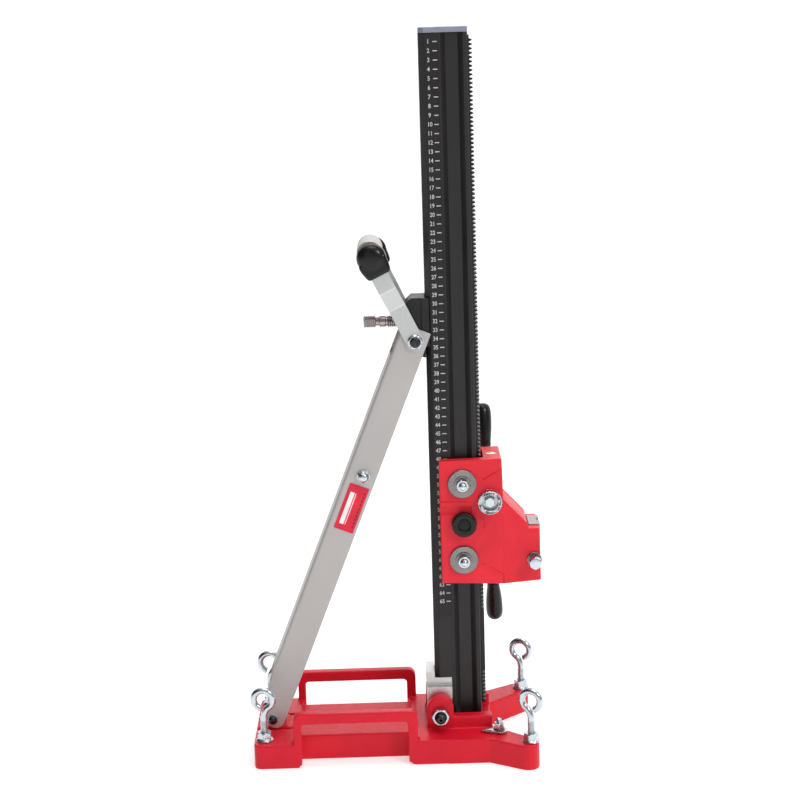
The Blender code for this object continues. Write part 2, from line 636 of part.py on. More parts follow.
def make_brace():
    length = (Vector(BRACE_TOP) - Vector(BRACE_FOOT)).length
    foot = arc((1.5, -2.8), 11.0, 95, 270, 9)
    flat = [(length + 14, BRACE_FRONT), (length + 14, BRACE_BACK), (50, BRACE_BACK), (21, 13.4)]
    outline = [brace_point(up, back) for up, back in flat + foot]
    brace = slab("brace_channel", [outline], "XZ", -BRACE_OUTER_Y, BRACE_OUTER_Y, STRAP)
    skin = BRACE_OUTER_Y - BRACE_INNER_Y
    hollows = (((-40, -40), (length + 60, BRACE_BACK - skin)),
               ((-40, -40), (BRACE_WEB[0], 60)),
               ((BRACE_WEB[1], -40), (length + 60, 60)))
    for low, high in hollows:
        corners = [(low[0], low[1]), (high[0], low[1]), (high[0], high[1]), (low[0], high[1])]
        corners = [brace_point(*corner) for corner in corners]
        cut(brace, slab("brace_hollow", [corners], "XZ", -BRACE_INNER_Y, BRACE_INNER_Y))
    middle = brace_point(*CROSS_BOLT)
    for (x, z), radius in ((BRACE_TOP, 6.4), (BRACE_FOOT, 5.3), (middle, 4.4)):
        cut(brace, rod("brace_bore", (x, -40, z), (x, 40, z), radius, sides=SMALL))
    hang(BRACE, brace)

    outer = BRACE_OUTER_Y + GAP
    x, z = middle
    cross = turned("brace_cross_bolt", [(0, 32.5), (2.5, 32.3), (5.0, 31), (5.6, 29.5), (5.6, outer),
                                        (4, outer), (4, -outer - 3), (0, -outer - 3)],
                   (x, 0, z), (0, -1, 0), ZINC, MEDIUM)
    join(cross, hexagon("cross_nut", (x, -outer, z), (x, -outer - 4.2, z), 13))
    join(cross, hexagon("cross_head", (x, outer, z), (x, outer + 5.5, z), 13))
    x, z = BRACE_FOOT
    pin = turned("brace_foot_bolt", [(0, 29.4), (3.2, 29), (4.9, 27.2), (4.9, -outer - 3),
                                     (0, -outer - 3)], (x, 0, z), (0, -1, 0), DARK, MEDIUM)
    join(pin, hexagon("foot_bolt_head", (x, outer, z), (x, outer + 5, z), 12))
    low, high = LABEL_UP
    front, back = LABEL_ACROSS
    corners = ((low, front), (high, front), (high, back), (low, back))
    face = -BRACE_OUTER_Y - GAP
    label = slab("brace_label", [[brace_point(*corner) for corner in corners]], "XZ", face - 0.3, face,
                 LABEL)
    hang(BRACE, cross, pin, label)


# ---------------------------------------------------------------- clamp block and lever
def make_clamp_block():
    low, high = BLOCK_Z
    body = [(-49, high - 6), (-42.5, high), (-27.4, high), (-27.4, 466), (-45, 470), (-49, 476)]
    block = slab("clamp_block", [body], "XZ", -18.5, 18.5, BLACK)
    bevel_x = -COLUMN_HALF_X - 0.4
    jaw = [(-31.4, -BRACE_INNER_Y + GAP), (-22.9, -BRACE_INNER_Y + GAP), (-22.9, -19.2),
           (bevel_x, -14.6)]
    join(block, slab("clamp_jaws", [mirrored(jaw)], "XY", JAWS_FROM, high))
    x, z = BRACE_TOP
    cut(block, rod("lever_bore", (x, -40, z), (x, 40, z), 6.4))
    cut(block, rod("spindle_bore", (-60, 0, SPINDLE_Z), (-20, 0, SPINDLE_Z), SPINDLE_RADIUS + 0.3))
    r = SPINDLE_RADIUS
    profile = [(0, 97.2), (r - 1, 97.2), (r, 96.2), (r, 83.8), (r - 1.7, 82.6), (r - 1.7, 79),
               (r - 0.4, 77.8), (r - 0.4, 71.5), (r - 1.2, 71), (r - 1.2, 69.5), (r, 69), (r, 30.6),
               (0, 30.6)]
    spindle = turned("clamp_spindle", profile, (0, 0, SPINDLE_Z), (-1, 0, 0), STEEL, MEDIUM)
    for side in (-1, 1):
        near, far = sorted((side * 5.9, side * 12))
        cut(spindle, box("spindle_flat", (-99, near, SPINDLE_Z - 12), (-84, far, SPINDLE_Z + 12)))
    shoe = rod("clamp_shoe", (-30.2, 0, SPINDLE_Z), (-27.4, 0, SPINDLE_Z), r, STEEL, MEDIUM)
    hang(SLIDE, block, shoe)
    hang(SPINDLE, spindle)


def lever_point(up, out=0.0):
    along = Vector((-math.sin(LEVER_ANGLE), math.cos(LEVER_ANGLE)))
    side = Vector((-along.y, along.x))
    place = Vector(BRACE_TOP) + along * up + side * out
    return (place.x, place.y)


def make_lever():
    inner = BRACE_OUTER_Y + 0.8
    outer = inner + 3.0
    spread = 9.2
    strap = [(inner, 0), (outer, 0), (outer, 44), (outer + spread, 66), (outer + spread, GRIP_AT),
             (inner + spread, GRIP_AT), (inner + spread, 67), (inner, 45)]
    tilt = Matrix.Rotation(-LEVER_ANGLE, 3, "Y")
    x, z = BRACE_TOP
    grip_x, grip_z = lever_point(GRIP_AT, GRIP_OUT)
    bar_end = inner + spread + 1
    frame = rod("lever_frame", (grip_x, -bar_end, grip_z), (grip_x, bar_end, grip_z), 7.0, ZINC,
                MEDIUM)
    for side in (-1, 1):
        points = [(side * across, up) for across, up in strap]
        arm = slab("lever_arm", [points], "YZ", -LEVER_HALF_WIDTH, LEVER_HALF_WIDTH)
        arm.rotation_euler = (tilt @ PLANES["YZ"]).to_euler()
        arm.location = Vector((x, 0, z)) * MM
        join(frame, arm)
        join(frame, rod("lever_end", (x, side * inner, z), (x, side * outer, z), LEVER_HALF_WIDTH))
    cut(frame, rod("lever_hole", (x, -60, z), (x, 60, z), 6.4))
    hang(LEVER, frame)
    make_grip((grip_x, grip_z), inner + spread, outer + spread)

    face = outer + GAP
    profile = [(0, 32.8), (3.6, 32.8), (4.4, 32), (4.4, 31.6), (8.6, face + 1.8), (8.6, face), (6, face),
               (6, -face), (8.6, -face), (8.6, -face - 1.8), (0, -face - 1.8)]
    bolt = turned("lever_pivot_bolt", profile, (x, 0, z), (0, -1, 0), ZINC, MEDIUM)
    join(bolt, hexagon("pivot_near_hex", (x, -face - 1, z), (x, -face - 5.2, z), 13))
    join(bolt, hexagon("pivot_far_hex", (x, face + 1, z), (x, face + 6.5, z), 13))
    hang(SLIDE, bolt)


def make_grip(centre, strap_inner, strap_outer):
    """A metal tube between two moulded caps, whose skirts hold the ends of the straps."""
    x, z = centre
    half = GRIP_HALF_Y
    tube_radius, tube_half = GRIP_TUBE_RADIUS, GRIP_TUBE_HALF_Y
    profile = [(tube_radius, tube_half), (tube_radius, -tube_half), (7.3, -tube_half), (7.3, tube_half)]
    tube = turned("lever_grip", profile, (x, 0, z), (0, -1, 0), ALUMINIUM, ROUND, closed=True)
    hang(LEVER, tube)
    tilt = Matrix.Rotation(-LEVER_ANGLE, 3, "Y")
    outline = [lever_point(*corner) for corner in SKIRT]
    inner_end = tube_half + GAP
    for name, side in (("near", -1), ("far", 1)):
        cap = turned("grip_cap_" + name, [(0, half), (9, half - 0.5), (13.4, half - 2), (15.6, half - 5),
                                          (16.2, half - 9), (16.2, inner_end), (0, inner_end)],
                     (x, 0, z), (0, side, 0), PLASTIC, MEDIUM)
        near, far = sorted((side * inner_end, side * (half - 3)))
        join(cap, slab("grip_skirt", [outline], "XZ", near, far))
        near, far = sorted((side * (inner_end - 5), side * (strap_outer + 0.3)))
        cut(cap, rod("grip_bore", (x, near, z), (x, far, z), 7.3))
        near, far = sorted((side * (strap_inner - 5), side * (strap_outer + 0.4)))
        slot_end = GRIP_AT + 0.6
        slot = slab("grip_slot", [[(near, 80), (far, 80), (far, slot_end), (near, slot_end)]], "YZ",
                    -LEVER_HALF_WIDTH - 0.4, LEVER_HALF_WIDTH + 0.4)
        slot.rotation_euler = (tilt @ PLANES["YZ"]).to_euler()
        slot.location = Vector((BRACE_TOP[0], 0, BRACE_TOP[1])) * MM
        cut(cap, slot)
        hang(LEVER, cap)


# ---------------------------------------------------------------- carriage
def carriage_outline():
    return [(-16.2, 203), (54.8, 200.4), (98.0, 203.6), (97.0, 266), (83.8, 266), (83.8, 271.5),
            (56.2, 301), (55.0, 349.2), (35, 348.6), (-16.6, 347.6)]


def make_carriage():
    y = CARRIAGE_HALF_Y
    carriage = slab("carriage_casting", [carriage_outline()], "XZ", -y, y, RED)
    inner = CARRIAGE_INNER_Y
    cut(carriage, box("column_way", (-40, -inner, 150), (34.6, inner, 400)))
    cut(carriage, box("pinion_space", (30, -8.4, 227), (64.6, 8.4, 264.6)))
    cut(carriage, box("slow_pinion_space", (30, -8.4, 264), (53, 8.4, 313.4)))
    cut(carriage, box("nose_slot", (NOSE_SLOT[0], -NOSE_SLOT[1], 190), (110, NOSE_SLOT[1], 280)))
    for _, z in ROLLERS_Z:
        for side in (-1, 1):
            cut(carriage, rod("roller_pocket", (CHANNEL_X, side * 15, z),
                              (CHANNEL_X, side * 27.4, z), 13.4))
            cut(carriage, rod("axle_bore", (CHANNEL_X, side * 20, z), (CHANNEL_X, side * 40, z), 5.3,
                              sides=SMALL))
    x, z = FAST_PINION
    cut(carriage, rod("fast_bore_far", (x, 5, z), (x, 40, z), 11.3))
    cut(carriage, rod("fast_bore_near", (x, -26, z), (x, -5, z), 8.3))
    x, z = SLOW_PINION
    cut(carriage, rod("slow_bore", (x, -40, z), (x, 26, z), 7.2, sides=SMALL))
    x, z = LOCK
    cut(carriage, rod("lock_bore", (x, -40, z), (x, -15, z), 5.3, sides=SMALL))
    x, z = CLAMP_BOLT
    cut(carriage, rod("clamp_bolt_bore", (x, -40, z), (x, 40, z), 4.3, sides=SMALL))
    cut(carriage, rod("level_pocket", (LEVEL_X, 0, 341), (LEVEL_X, 0, 360), 7.3, sides=SMALL))
    profile = [(0, 348.4), (4.4, 348.2), (5.2, 347.6), (5.2, 348.7), (6.6, 348.7), (6.6, 341.3),
               (0, 341.3)]
    level = turned("bubble_level", profile, (LEVEL_X, 0, 0), (0, 0, 1), VIAL, MEDIUM)
    hang(FEED, carriage, level)


def make_rollers():
    """Tapered rollers in the vee channels, on axles that are clamped in the carriage's plates."""
    ease = 0.4
    slope = (CHANNEL_MOUTH - CHANNEL_FLOOR) / CHANNEL_DEPTH
    floor = COLUMN_HALF_Y - CHANNEL_DEPTH
    small_y = floor + 1.6
    small = CHANNEL_FLOOR + (small_y - floor) * slope - ease
    large = CHANNEL_MOUTH - ease
    for height, z in ROLLERS_Z:
        for name, side in (("near", -1), ("far", 1)):
            place = (CHANNEL_X, 0, z)
            out = (0, side, 0)
            rim = COLUMN_HALF_Y + 0.4
            profile = [(5.4, 26.8), (12.7, 26.8), (12.7, rim + 0.6), (large, rim - 0.4),
                       (small, small_y), (5.4, small_y)]
            roller = turned("roller_%s_%s" % (height, name), profile, place, out, STEEL, MEDIUM,
                            closed=True)
            axis = pivot("roller_axis_%s_%s" % (height, name), (CHANNEL_X, side * 22, z), FEED)
            hang(axis, roller)
            face = CARRIAGE_HALF_Y + GAP
            inner = small_y - GAP
            profile = [(0, 50), (3, 50), (4, 49), (4, 37), (9.5, 37), (9.5, 35), (16.0, 35), (16.5, 34.5),
                       (16.5, face), (5, face), (5, inner), (6.1, inner), (6.1, small_y - 1.2),
                       (0, small_y - 1.2)]
            axle = turned("roller_axle_%s_%s" % (height, name), profile, place, out, ZINC, MEDIUM)
            turn = 0.0 if side < 0 else math.pi / 6
            join(axle, hexagon("axle_nut", (CHANNEL_X, side * 36, z), (CHANNEL_X, side * 44.5, z),
                               13, roll=turn))
            hang(FEED, axle)


def gear_outline(teeth, shift, centre, phase):
    """An involute gear's outline. phase is the angle of the middle of a tooth."""
    pitch_radius = MODULE * teeth / 2
    base_radius = pitch_radius * math.cos(PRESSURE)
    tip = pitch_radius + MODULE * (1 + shift) - 0.1
    root = pitch_radius - MODULE * (1.25 - shift)
    thick = PITCH / 2 + 2 * shift * MODULE * math.tan(PRESSURE) - BACKLASH
    level = math.tan(PRESSURE) - PRESSURE

    def half_angle(radius):
        roll = math.acos(min(1.0, base_radius / radius))
        return thick / 2 / pitch_radius + level - (math.tan(roll) - roll)

    low = max(root + 0.35, base_radius)
    radii = [root] + [low + (tip - low) * i / 2 for i in range(3)]
    points = []
    for tooth in range(teeth):
        middle = phase + 2 * math.pi * tooth / teeth
        flank = [(radius, half_angle(max(radius, low))) for radius in radii]
        if low == base_radius:
            flank[0] = (root, flank[1][1] * 0.86)
        sides = [(radius, middle - half) for radius, half in flank]
        sides += [(radius, middle + half) for radius, half in reversed(flank)]
        for radius, angle in sides:
            points.append((centre[0] + radius * math.cos(angle),
                           centre[1] + radius * math.sin(angle)))
    return points


def meshed_phase(teeth, centre):
    """The angle that puts a gap of the pinion on the rack tooth nearest to its centre."""
    radius = MODULE * teeth / 2
    index = round((centre[1] - RACK_ZERO) / PITCH - 0.5)
    offset = RACK_ZERO + PITCH * (index + 0.5) - centre[1]
    return math.pi - offset / radius + math.pi / teeth


def make_pinions():
    x, z = FAST_PINION
    outline = gear_outline(FAST_TEETH, 0.0, FAST_PINION, meshed_phase(FAST_TEETH, FAST_PINION))
    pinion = toothed_slab("feed_pinion", outline, -6.4, 6.4, STEEL)
    join(pinion, rod("feed_shaft", (x, -25.5, z), (x, 54, z), 8.0))
    hang(FAST, pinion)
    bush = turned("feed_bushing", [(8.3, 33.6), (13.5, 33.6), (13.5, CARRIAGE_HALF_Y + GAP),
                                   (11, CARRIAGE_HALF_Y + GAP), (11, 8.8), (8.3, 8.8)],
                  (x, 0, z), (0, 1, 0), STEEL, ROUND, closed=True)
    hang(FEED, bush)
    x, z = SLOW_PINION
    phase = meshed_phase(SLOW_TEETH, SLOW_PINION)
    outline = gear_outline(SLOW_TEETH, SLOW_SHIFT, SLOW_PINION, phase)
    slow = toothed_slab("slow_feed_pinion", outline, -6.4, 6.4, ZINC)
    join(slow, rod("slow_shaft", (x, 25.5, z), (x, -34, z), 6.6, sides=SMALL))
    face = CARRIAGE_HALF_Y + GAP
    socket = [(0, 35.2), (9.2, 35.2), (9.6, 42.6), (13.1, 42.6), (13.8, 41.9), (13.8, face), (0, face)]
    join(slow, turned("drive_socket", socket, (x, 0, z), (0, -1, 0)))
    join(slow, hexagon("drive_hexagon", (x, -34, z), (x, -40.5, z), 10))
    hang(SLOW, slow)


def make_feed_handle():
    x, z = FAST_PINION
    top = HANDLE_HUB_Y + 11
    hub = turned("feed_handle", [(0, top), (9, top), (12.5, top - 3), (14, top - 12), (14, top - 24),
                                 (11.5, top - 30), (11.5, 36.2), (8.3, 36.2), (8.3, 54.5), (0, 54.5)],
                 (x, 0, z), (0, 1, 0), ZINC)
    hang(FAST, hub)
    middle = Vector((x, HANDLE_HUB_Y, z))
    for name, sign in (("lower", -1), ("upper", 1)):
        tip = Vector((x - sign * HANDLE_LEAN * HANDLE_REACH, HANDLE_TIP_Y, z + sign * HANDLE_REACH))
        along = (tip - middle).normalized()
        length = (tip - middle).length
        join(hub, rod("handle_arm", middle, middle + along * (length - 9), 4.5, sides=SMALL))
        profile = [(0, length), (5, length - 1), (8.6, length - 5), (10.2, length - 12),
                   (10.3, length - 22), (9.2, length - 36), (7.6, length - 48), (6.4, length - 54),
                   (4.8, length - 54), (4.8, length - 8.5), (0, length - 8.5)]
        grip = turned("feed_grip_" + name, profile, middle, along, PLASTIC, MEDIUM)
        hang(FAST, grip)


def make_lock():
    x, z = LOCK
    face = CARRIAGE_HALF_Y + GAP
    floor = COLUMN_HALF_Y - CHANNEL_DEPTH
    profile = [(0, 40), (3.5, 40), (3.5, face - GAP), (5, face - GAP), (5, floor + 1.6), (4, floor + 0.6),
               (0, floor + 0.6)]
    plunger = turned("lock_plunger", profile, (x, 0, z), (0, -1, 0), STEEL, SMALL)
    profile = [(0, 42), (6, 42), (7.5, 43.4), (13.3, 43.4), (14.3, 42.4), (14.3, face + 1.5),
               (13.3, face), (3.8, face), (3.8, 40.3), (0, 40.3)]
    knob = turned("lock_knob", profile, (x, 0, z), (0, -1, 0), PLASTIC)
    hang(LOCKING, plunger, knob)


def make_motor_clamp():
    x, z = CLAMP_BOLT
    half = NOSE_SLOT[1] - 0.4
    plate = box("motor_plate", (NOSE_SLOT[0] + 0.4, -half, 201.2), (98.7, half, 268), ALUMINIUM)
    soften(plate, 0.8)
    cut(plate, box("plate_groove", (95.4, -6, 190), (110, 6, 280)))
    cut(plate, rod("plate_bore", (x, -40, z), (x, 40, z), 4.3, sides=SMALL))
    face = CARRIAGE_HALF_Y + GAP
    washer = turned("motor_clamp_washer", [(4.4, 34.2), (8.6, 34.2), (8.6, face), (4.4, face)],
                    (x, 0, z), (0, -1, 0), ZINC, MEDIUM, closed=True)
    hang(FEED, plate, washer)
    profile = [(0, 47), (6.2, 47), (6.2, 34.5), (4, 34.5), (4, -face), (7.6, -face), (7.6, -face - 1.6),
               (0, -face - 1.6)]
    bolt = turned("motor_clamp_bolt", profile, (x, 0, z), (0, -1, 0), ZINC, MEDIUM)
    join(bolt, hexagon("bolt_head", (x, -44, z), (x, -51.5, z), 13))
    join(bolt, hexagon("bolt_tail", (x, face + 1, z), (x, face + 8, z), 13))
    hang(BOLTING, bolt)


make_column()
make_end_plate()
make_rack()
make_pivot_block()
make_base()
make_pivot_bolt()
make_stud()
make_pointer()
for foot in FEET:
    make_levelling_screw(*foot)
make_brace()
make_clamp_block()
make_lever()
make_carriage()
make_rollers()
make_pinions()
make_feed_handle()
make_lock()
make_motor_clamp()
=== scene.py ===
"""The looks of a core drill rig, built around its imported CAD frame.

Outlines and turned profiles are in millimetres and become metres in the mesh helpers.
+Z is up, +X is the drilling side, and -Y is the near side, which the camera faces.
"""
import math

import bmesh
import bpy
from mathutils import Matrix, Vector


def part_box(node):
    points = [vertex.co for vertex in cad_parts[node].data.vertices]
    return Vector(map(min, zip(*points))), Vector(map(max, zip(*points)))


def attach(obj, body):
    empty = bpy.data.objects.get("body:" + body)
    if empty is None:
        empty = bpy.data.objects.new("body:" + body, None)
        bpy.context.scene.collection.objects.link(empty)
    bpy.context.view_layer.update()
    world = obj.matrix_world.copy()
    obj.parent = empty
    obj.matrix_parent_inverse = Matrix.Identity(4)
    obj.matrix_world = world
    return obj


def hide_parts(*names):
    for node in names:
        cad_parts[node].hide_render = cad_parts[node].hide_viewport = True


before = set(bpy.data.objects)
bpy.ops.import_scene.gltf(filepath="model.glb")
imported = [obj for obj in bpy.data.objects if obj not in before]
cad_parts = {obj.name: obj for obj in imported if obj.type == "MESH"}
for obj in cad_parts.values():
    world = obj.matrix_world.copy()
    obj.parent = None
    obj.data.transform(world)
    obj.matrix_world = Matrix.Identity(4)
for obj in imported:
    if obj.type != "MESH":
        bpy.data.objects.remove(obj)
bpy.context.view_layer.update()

MM = 0.001
TURN = 2 * math.pi
UP = (0, 0, 1)
NEAR = (0, -1, 0)
FAR = (0, 1, 0)
REAR = (-1, 0, 0)
LINK = bpy.context.scene.collection.objects.link


def span(node):
    """A CAD node's lowest and highest corners, in millimetres."""
    low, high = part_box(node)
    return low / MM, high / MM


def middle(node):
    low, high = span(node)
    return (low + high) / 2


# ---------------------------------------------------------------- materials
class Nodes:
    """A material's node tree, with short calls for the nodes that it is made of."""

    def __init__(self, name, roughness, metallic, coat=0.0, specular=0.5):
        self.material = bpy.data.materials.new(name)
        self.material.use_nodes = True
        self.tree = self.material.node_tree
        self.shader = self.tree.nodes["Principled BSDF"]
        self.shader.inputs["Roughness"].default_value = roughness
        self.shader.inputs["Metallic"].default_value = metallic
        self.shader.inputs["Coat Weight"].default_value = coat
        self.shader.inputs["Coat Roughness"].default_value = 0.12
        self.shader.inputs["Specular IOR Level"].default_value = specular

    def lathe(self, amount):
        """Stretches highlights into bright cones, as on a face that was turned on a lathe."""
        tangent = self.add("ShaderNodeTangent", direction_type="RADIAL", axis="Z")
        self.wire(tangent.outputs["Tangent"], self.shader.inputs["Tangent"])
        self.shader.inputs["Anisotropic"].default_value = amount

    def add(self, kind, **values):
        made = self.tree.nodes.new(kind)
        for key, value in values.items():
            setattr(made, key, value)
        return made

    def wire(self, start, end):
        self.tree.links.new(start, end)

    def place(self, stretch=(1, 1, 1), rings=False):
        """Where a point is on the piece; rings gives its distance from the turning axis instead."""
        where = self.add("ShaderNodeTexCoord").outputs["Object"]
        if rings:
            flat = self.add("ShaderNodeVectorMath", operation="MULTIPLY")
            flat.inputs[1].default_value = (1, 1, 0)
            self.wire(where, flat.inputs[0])
            length = self.add("ShaderNodeVectorMath", operation="LENGTH")
            self.wire(flat.outputs["Vector"], length.inputs[0])
            joined = self.add("ShaderNodeCombineXYZ")
            self.wire(length.outputs["Value"], joined.inputs["X"])
            return joined.outputs["Vector"]
        mapping = self.add("ShaderNodeMapping")
        mapping.inputs["Scale"].default_value = stretch
        self.wire(where, mapping.inputs["Vector"])
        return mapping.outputs["Vector"]

    def noise(self, where, scale, detail=3.0):
        made = self.add("ShaderNodeTexNoise")
        made.inputs["Scale"].default_value = scale
        made.inputs["Detail"].default_value = detail
        self.wire(where, made.inputs["Vector"])
        return made.outputs["Fac"]

    def remap(self, value, low, high, start=0.3, end=0.7):
        made = self.add("ShaderNodeMapRange")
        made.inputs["From Min"].default_value = start
        made.inputs["From Max"].default_value = end
        made.inputs["To Min"].default_value = low
        made.inputs["To Max"].default_value = high
        self.wire(value, made.inputs["Value"])
        return made.outputs["Result"]

    def mix(self, factor, one, other):
        made = self.add("ShaderNodeMix", data_type="RGBA")
        self.wire(factor, made.inputs["Factor"])
        for socket, value in ((made.inputs["A"], one), (made.inputs["B"], other)):
            if isinstance(value, tuple):
                socket.default_value = (*value, 1.0)
            else:
                self.wire(value, socket)
        return made.outputs["Result"]

    def bump(self, height, distance, strength=1.0, below=None):
        made = self.add("ShaderNodeBump")
        made.inputs["Distance"].default_value = distance
        made.inputs["Strength"].default_value = strength
        self.wire(height, made.inputs["Height"])
        if below is not None:
            self.wire(below, made.inputs["Normal"])
        return made.outputs["Normal"]

    def finish(self, colour=None, roughness=None, normal=None):
        for name, output in (("Base Color", colour), ("Roughness", roughness), ("Normal", normal)):
            if output is not None:
                self.wire(output, self.shader.inputs[name])
        return self.material


def shade(colour, factor):
    return tuple(min(1.0, part * factor) for part in colour)


def cast_paint(name, colour):
    """Glossy enamel on a casting: orange peel over a faint sand texture, with a painted highlight: a paler
    red on convex edges, where light would catch them.
    """
    nodes = Nodes(name, 0.4, 0.0, coat=0.05, specular=0.22)
    where = nodes.place()
    cloud = nodes.remap(nodes.noise(where, 26), 0, 1)
    tone = nodes.mix(cloud, shade(colour, 0.93), shade(colour, 1.06))
    edge = nodes.add("ShaderNodeNewGeometry").outputs["Pointiness"]
    # painted highlight: convex edges are mixed towards a paler red
    edge_highlight = nodes.remap(edge, 0, 0.35, 0.52, 0.6)
    tone = nodes.mix(edge_highlight, tone, shade(colour, 1.45))
    rough = nodes.remap(nodes.noise(where, 180), 0.34, 0.48)
    sand = nodes.bump(nodes.noise(where, 950, 4), 0.00007)
    peel = nodes.bump(nodes.noise(where, 260, 2), 0.00012, below=sand)
    return nodes.finish(tone, rough, peel)


def anodised(name, colour, stretch=(900, 900, 6), specular=0.4):
    """Black anodised extrusion, with faint die lines along it."""
    nodes = Nodes(name, 0.4, 0.0, specular=specular)
    lines = nodes.noise(nodes.place(stretch), 1.0)
    tone = nodes.mix(nodes.remap(lines, 0, 1), shade(colour, 0.82), shade(colour, 1.2))
    rough = nodes.remap(nodes.noise(nodes.place(), 60), 0.36, 0.46)
    grain = nodes.bump(nodes.noise(nodes.place(), 2400, 2), 0.00002)
    return nodes.finish(tone, rough, nodes.bump(lines, 0.00003, below=grain))


def plated(name, colour, roughness, rings=0.0, spread=0.06, lathe=0.0):
    """Zinc plate or turned steel. rings is the depth of its turning marks, in metres."""
    nodes = Nodes(name, roughness, 1.0)
    if lathe:
        nodes.lathe(lathe)
    where = nodes.place()
    cloud = nodes.remap(nodes.noise(where, 190), 0, 1)
    tone = nodes.mix(cloud, shade(colour, 1 - spread), shade(colour, 1 + spread))
    rough = nodes.remap(nodes.noise(where, 420), roughness * 0.8, roughness * 1.25)
    normal = nodes.bump(nodes.noise(where, 1500, 2), 0.00002)
    if rings:
        marks = nodes.noise(nodes.place(rings=True), 2600, 2)
        tone = nodes.mix(nodes.remap(marks, 0, 1), shade(colour, 0.78), tone)
        normal = nodes.bump(marks, rings, below=normal)
    return nodes.finish(tone, rough, normal)


def brushed(name, colour, roughness, stretch, depth=0.00003):
    """Flat metal with grinding or rolling marks along one direction."""
    nodes = Nodes(name, roughness, 1.0)
    lines = nodes.noise(nodes.place(stretch), 1.0, 4)
    tone = nodes.mix(nodes.remap(lines, 0, 1), shade(colour, 0.88), shade(colour, 1.08))
    rough = nodes.remap(lines, roughness * 0.85, roughness * 1.2)
    return nodes.finish(tone, rough, nodes.bump(lines, depth))


def creased(name, colour, roughness, axis, origin, creases):
    """Plated strap: rolling marks, with a painted highlight: a pale line where the metal was bent,
    standing in for light on the bend.
    """
    nodes = Nodes(name, roughness, 0.85)
    where = nodes.place((400, 400, 60))
    lines = nodes.noise(where, 1.0, 4)
    tone = nodes.mix(nodes.remap(lines, 0, 1), shade(colour, 0.93), shade(colour, 1.05))
    along = nodes.add("ShaderNodeVectorMath", operation="DOT_PRODUCT")
    along.inputs[1].default_value = axis
    nodes.wire(nodes.place(), along.inputs[0])
    for crease in creases:
        # painted highlight: a pale band along each bend of the strap
        bend_highlight = nodes.add("ShaderNodeMath", operation="COMPARE")
        bend_highlight.inputs[1].default_value = origin + crease * MM
        bend_highlight.inputs[2].default_value = 0.0006
        nodes.wire(along.outputs["Value"], bend_highlight.inputs[0])
        tone = nodes.mix(bend_highlight.outputs["Value"], tone, shade(colour, 1.14))
    rough = nodes.remap(lines, roughness * 0.85, roughness * 1.2)
    return nodes.finish(tone, rough, nodes.bump(lines, 0.00001))


def powder_coat(name, colour):
    """Warm grey satin coat with a fine hammered speckle."""
    nodes = Nodes(name, 0.42, 0.25, coat=0.08)
    where = nodes.place()
    speckle = nodes.noise(where, 1300, 3)
    cloud = nodes.remap(nodes.noise(where, 14), 0, 1)
    tone = nodes.mix(cloud, shade(colour, 0.96), shade(colour, 1.03))
    tone = nodes.mix(nodes.remap(speckle, 0, 0.4), tone, shade(colour, 0.86))
    rough = nodes.remap(speckle, 0.38, 0.5)
    return nodes.finish(tone, rough, nodes.bump(speckle, 0.00004))


def moulded(name, colour, roughness, grain=0.00002, coat=0.3, specular=0.5):
    """Moulded plastic with a faint grain."""
    nodes = Nodes(name, roughness, 0.0, coat=coat, specular=specular)
    where = nodes.place()
    cloud = nodes.remap(nodes.noise(where, 45), 0, 1)
    tone = nodes.mix(cloud, shade(colour, 0.85), shade(colour, 1.2))
    rough = nodes.remap(nodes.noise(where, 500), roughness * 0.85, roughness * 1.2)
    return nodes.finish(tone, rough, nodes.bump(nodes.noise(where, 1800, 2), grain))


BASE_RED = cast_paint("cast_red_base", (0.69, 0.0075, 0.026))
CARRIAGE_RED = cast_paint("cast_red_carriage", (0.745, 0.019, 0.036))
BLACK = anodised("black_anodised", (0.012, 0.0105, 0.0105))
RULER_BLACK = anodised("ruler_black", (0.006, 0.0055, 0.0055), (60, 60, 60))
RULER_WHITE = moulded("ruler_white", (0.5, 0.49, 0.49), 0.5)
BLOCK_BLACK = anodised("block_black", (0.018, 0.0175, 0.0175), (60, 60, 60), 0.22)
ZINC = plated("bright_zinc", (0.56, 0.61, 0.645), 0.25)
WASHER = plated("turned_washer", (0.25, 0.232, 0.23), 0.24, rings=0.00004, lathe=0.9)
SOCKET = plated("turned_zinc", (0.52, 0.535, 0.55), 0.26, rings=0.00001, lathe=0.6)
STEEL = plated("bare_steel", (0.42, 0.37, 0.36), 0.3, rings=0.00004)
RACK_STEEL = brushed("rack_steel", (0.045, 0.042, 0.042), 0.42, (40, 900, 900))
ALUMINIUM = brushed("milled_aluminium", (0.64, 0.63, 0.62), 0.45, (700, 60, 700))
PLATE_METAL = brushed("plate_metal", (0.42, 0.4, 0.39), 0.5, (700, 60, 700))
TUBE_METAL = brushed("grip_tube", (0.47, 0.44, 0.41), 0.42, (30, 30, 1100), 0.00004)
CAP_ALUMINIUM = brushed("cap_aluminium", (0.33, 0.35, 0.425), 0.38, (60, 900, 900))
STRAP = powder_coat("grey_coat", (0.475, 0.45, 0.44))
OXIDE = plated("black_oxide", (0.05, 0.05, 0.055), 0.28)
PLASTIC = moulded("black_plastic", (0.006, 0.0055, 0.0055), 0.3, coat=0.12, specular=0.25)
KNOB_FACE = moulded("knob_face", (0.016, 0.015, 0.015), 0.6, 0.00005, 0.0, 0.2)
LABEL = moulded("label_red", (0.7, 0.008, 0.04), 0.34, coat=0.1, specular=0.3)
LABEL_WHITE = moulded("label_white", (0.85, 0.83, 0.84), 0.4)
LABEL_DARK = moulded("label_dark", (0.16, 0.008, 0.012), 0.4, coat=0.1, specular=0.3)
VIAL = moulded("level_liquid", (0.9, 0.8, 0.42), 0.1, 0.0, 1.0)
VIAL_RIM = moulded("level_rim", (0.75, 0.5, 0.2), 0.2, 0.0, 0.5)
BUBBLE = moulded("level_bubble", (0.98, 0.95, 0.75), 0.05, 0.0, 1.0)


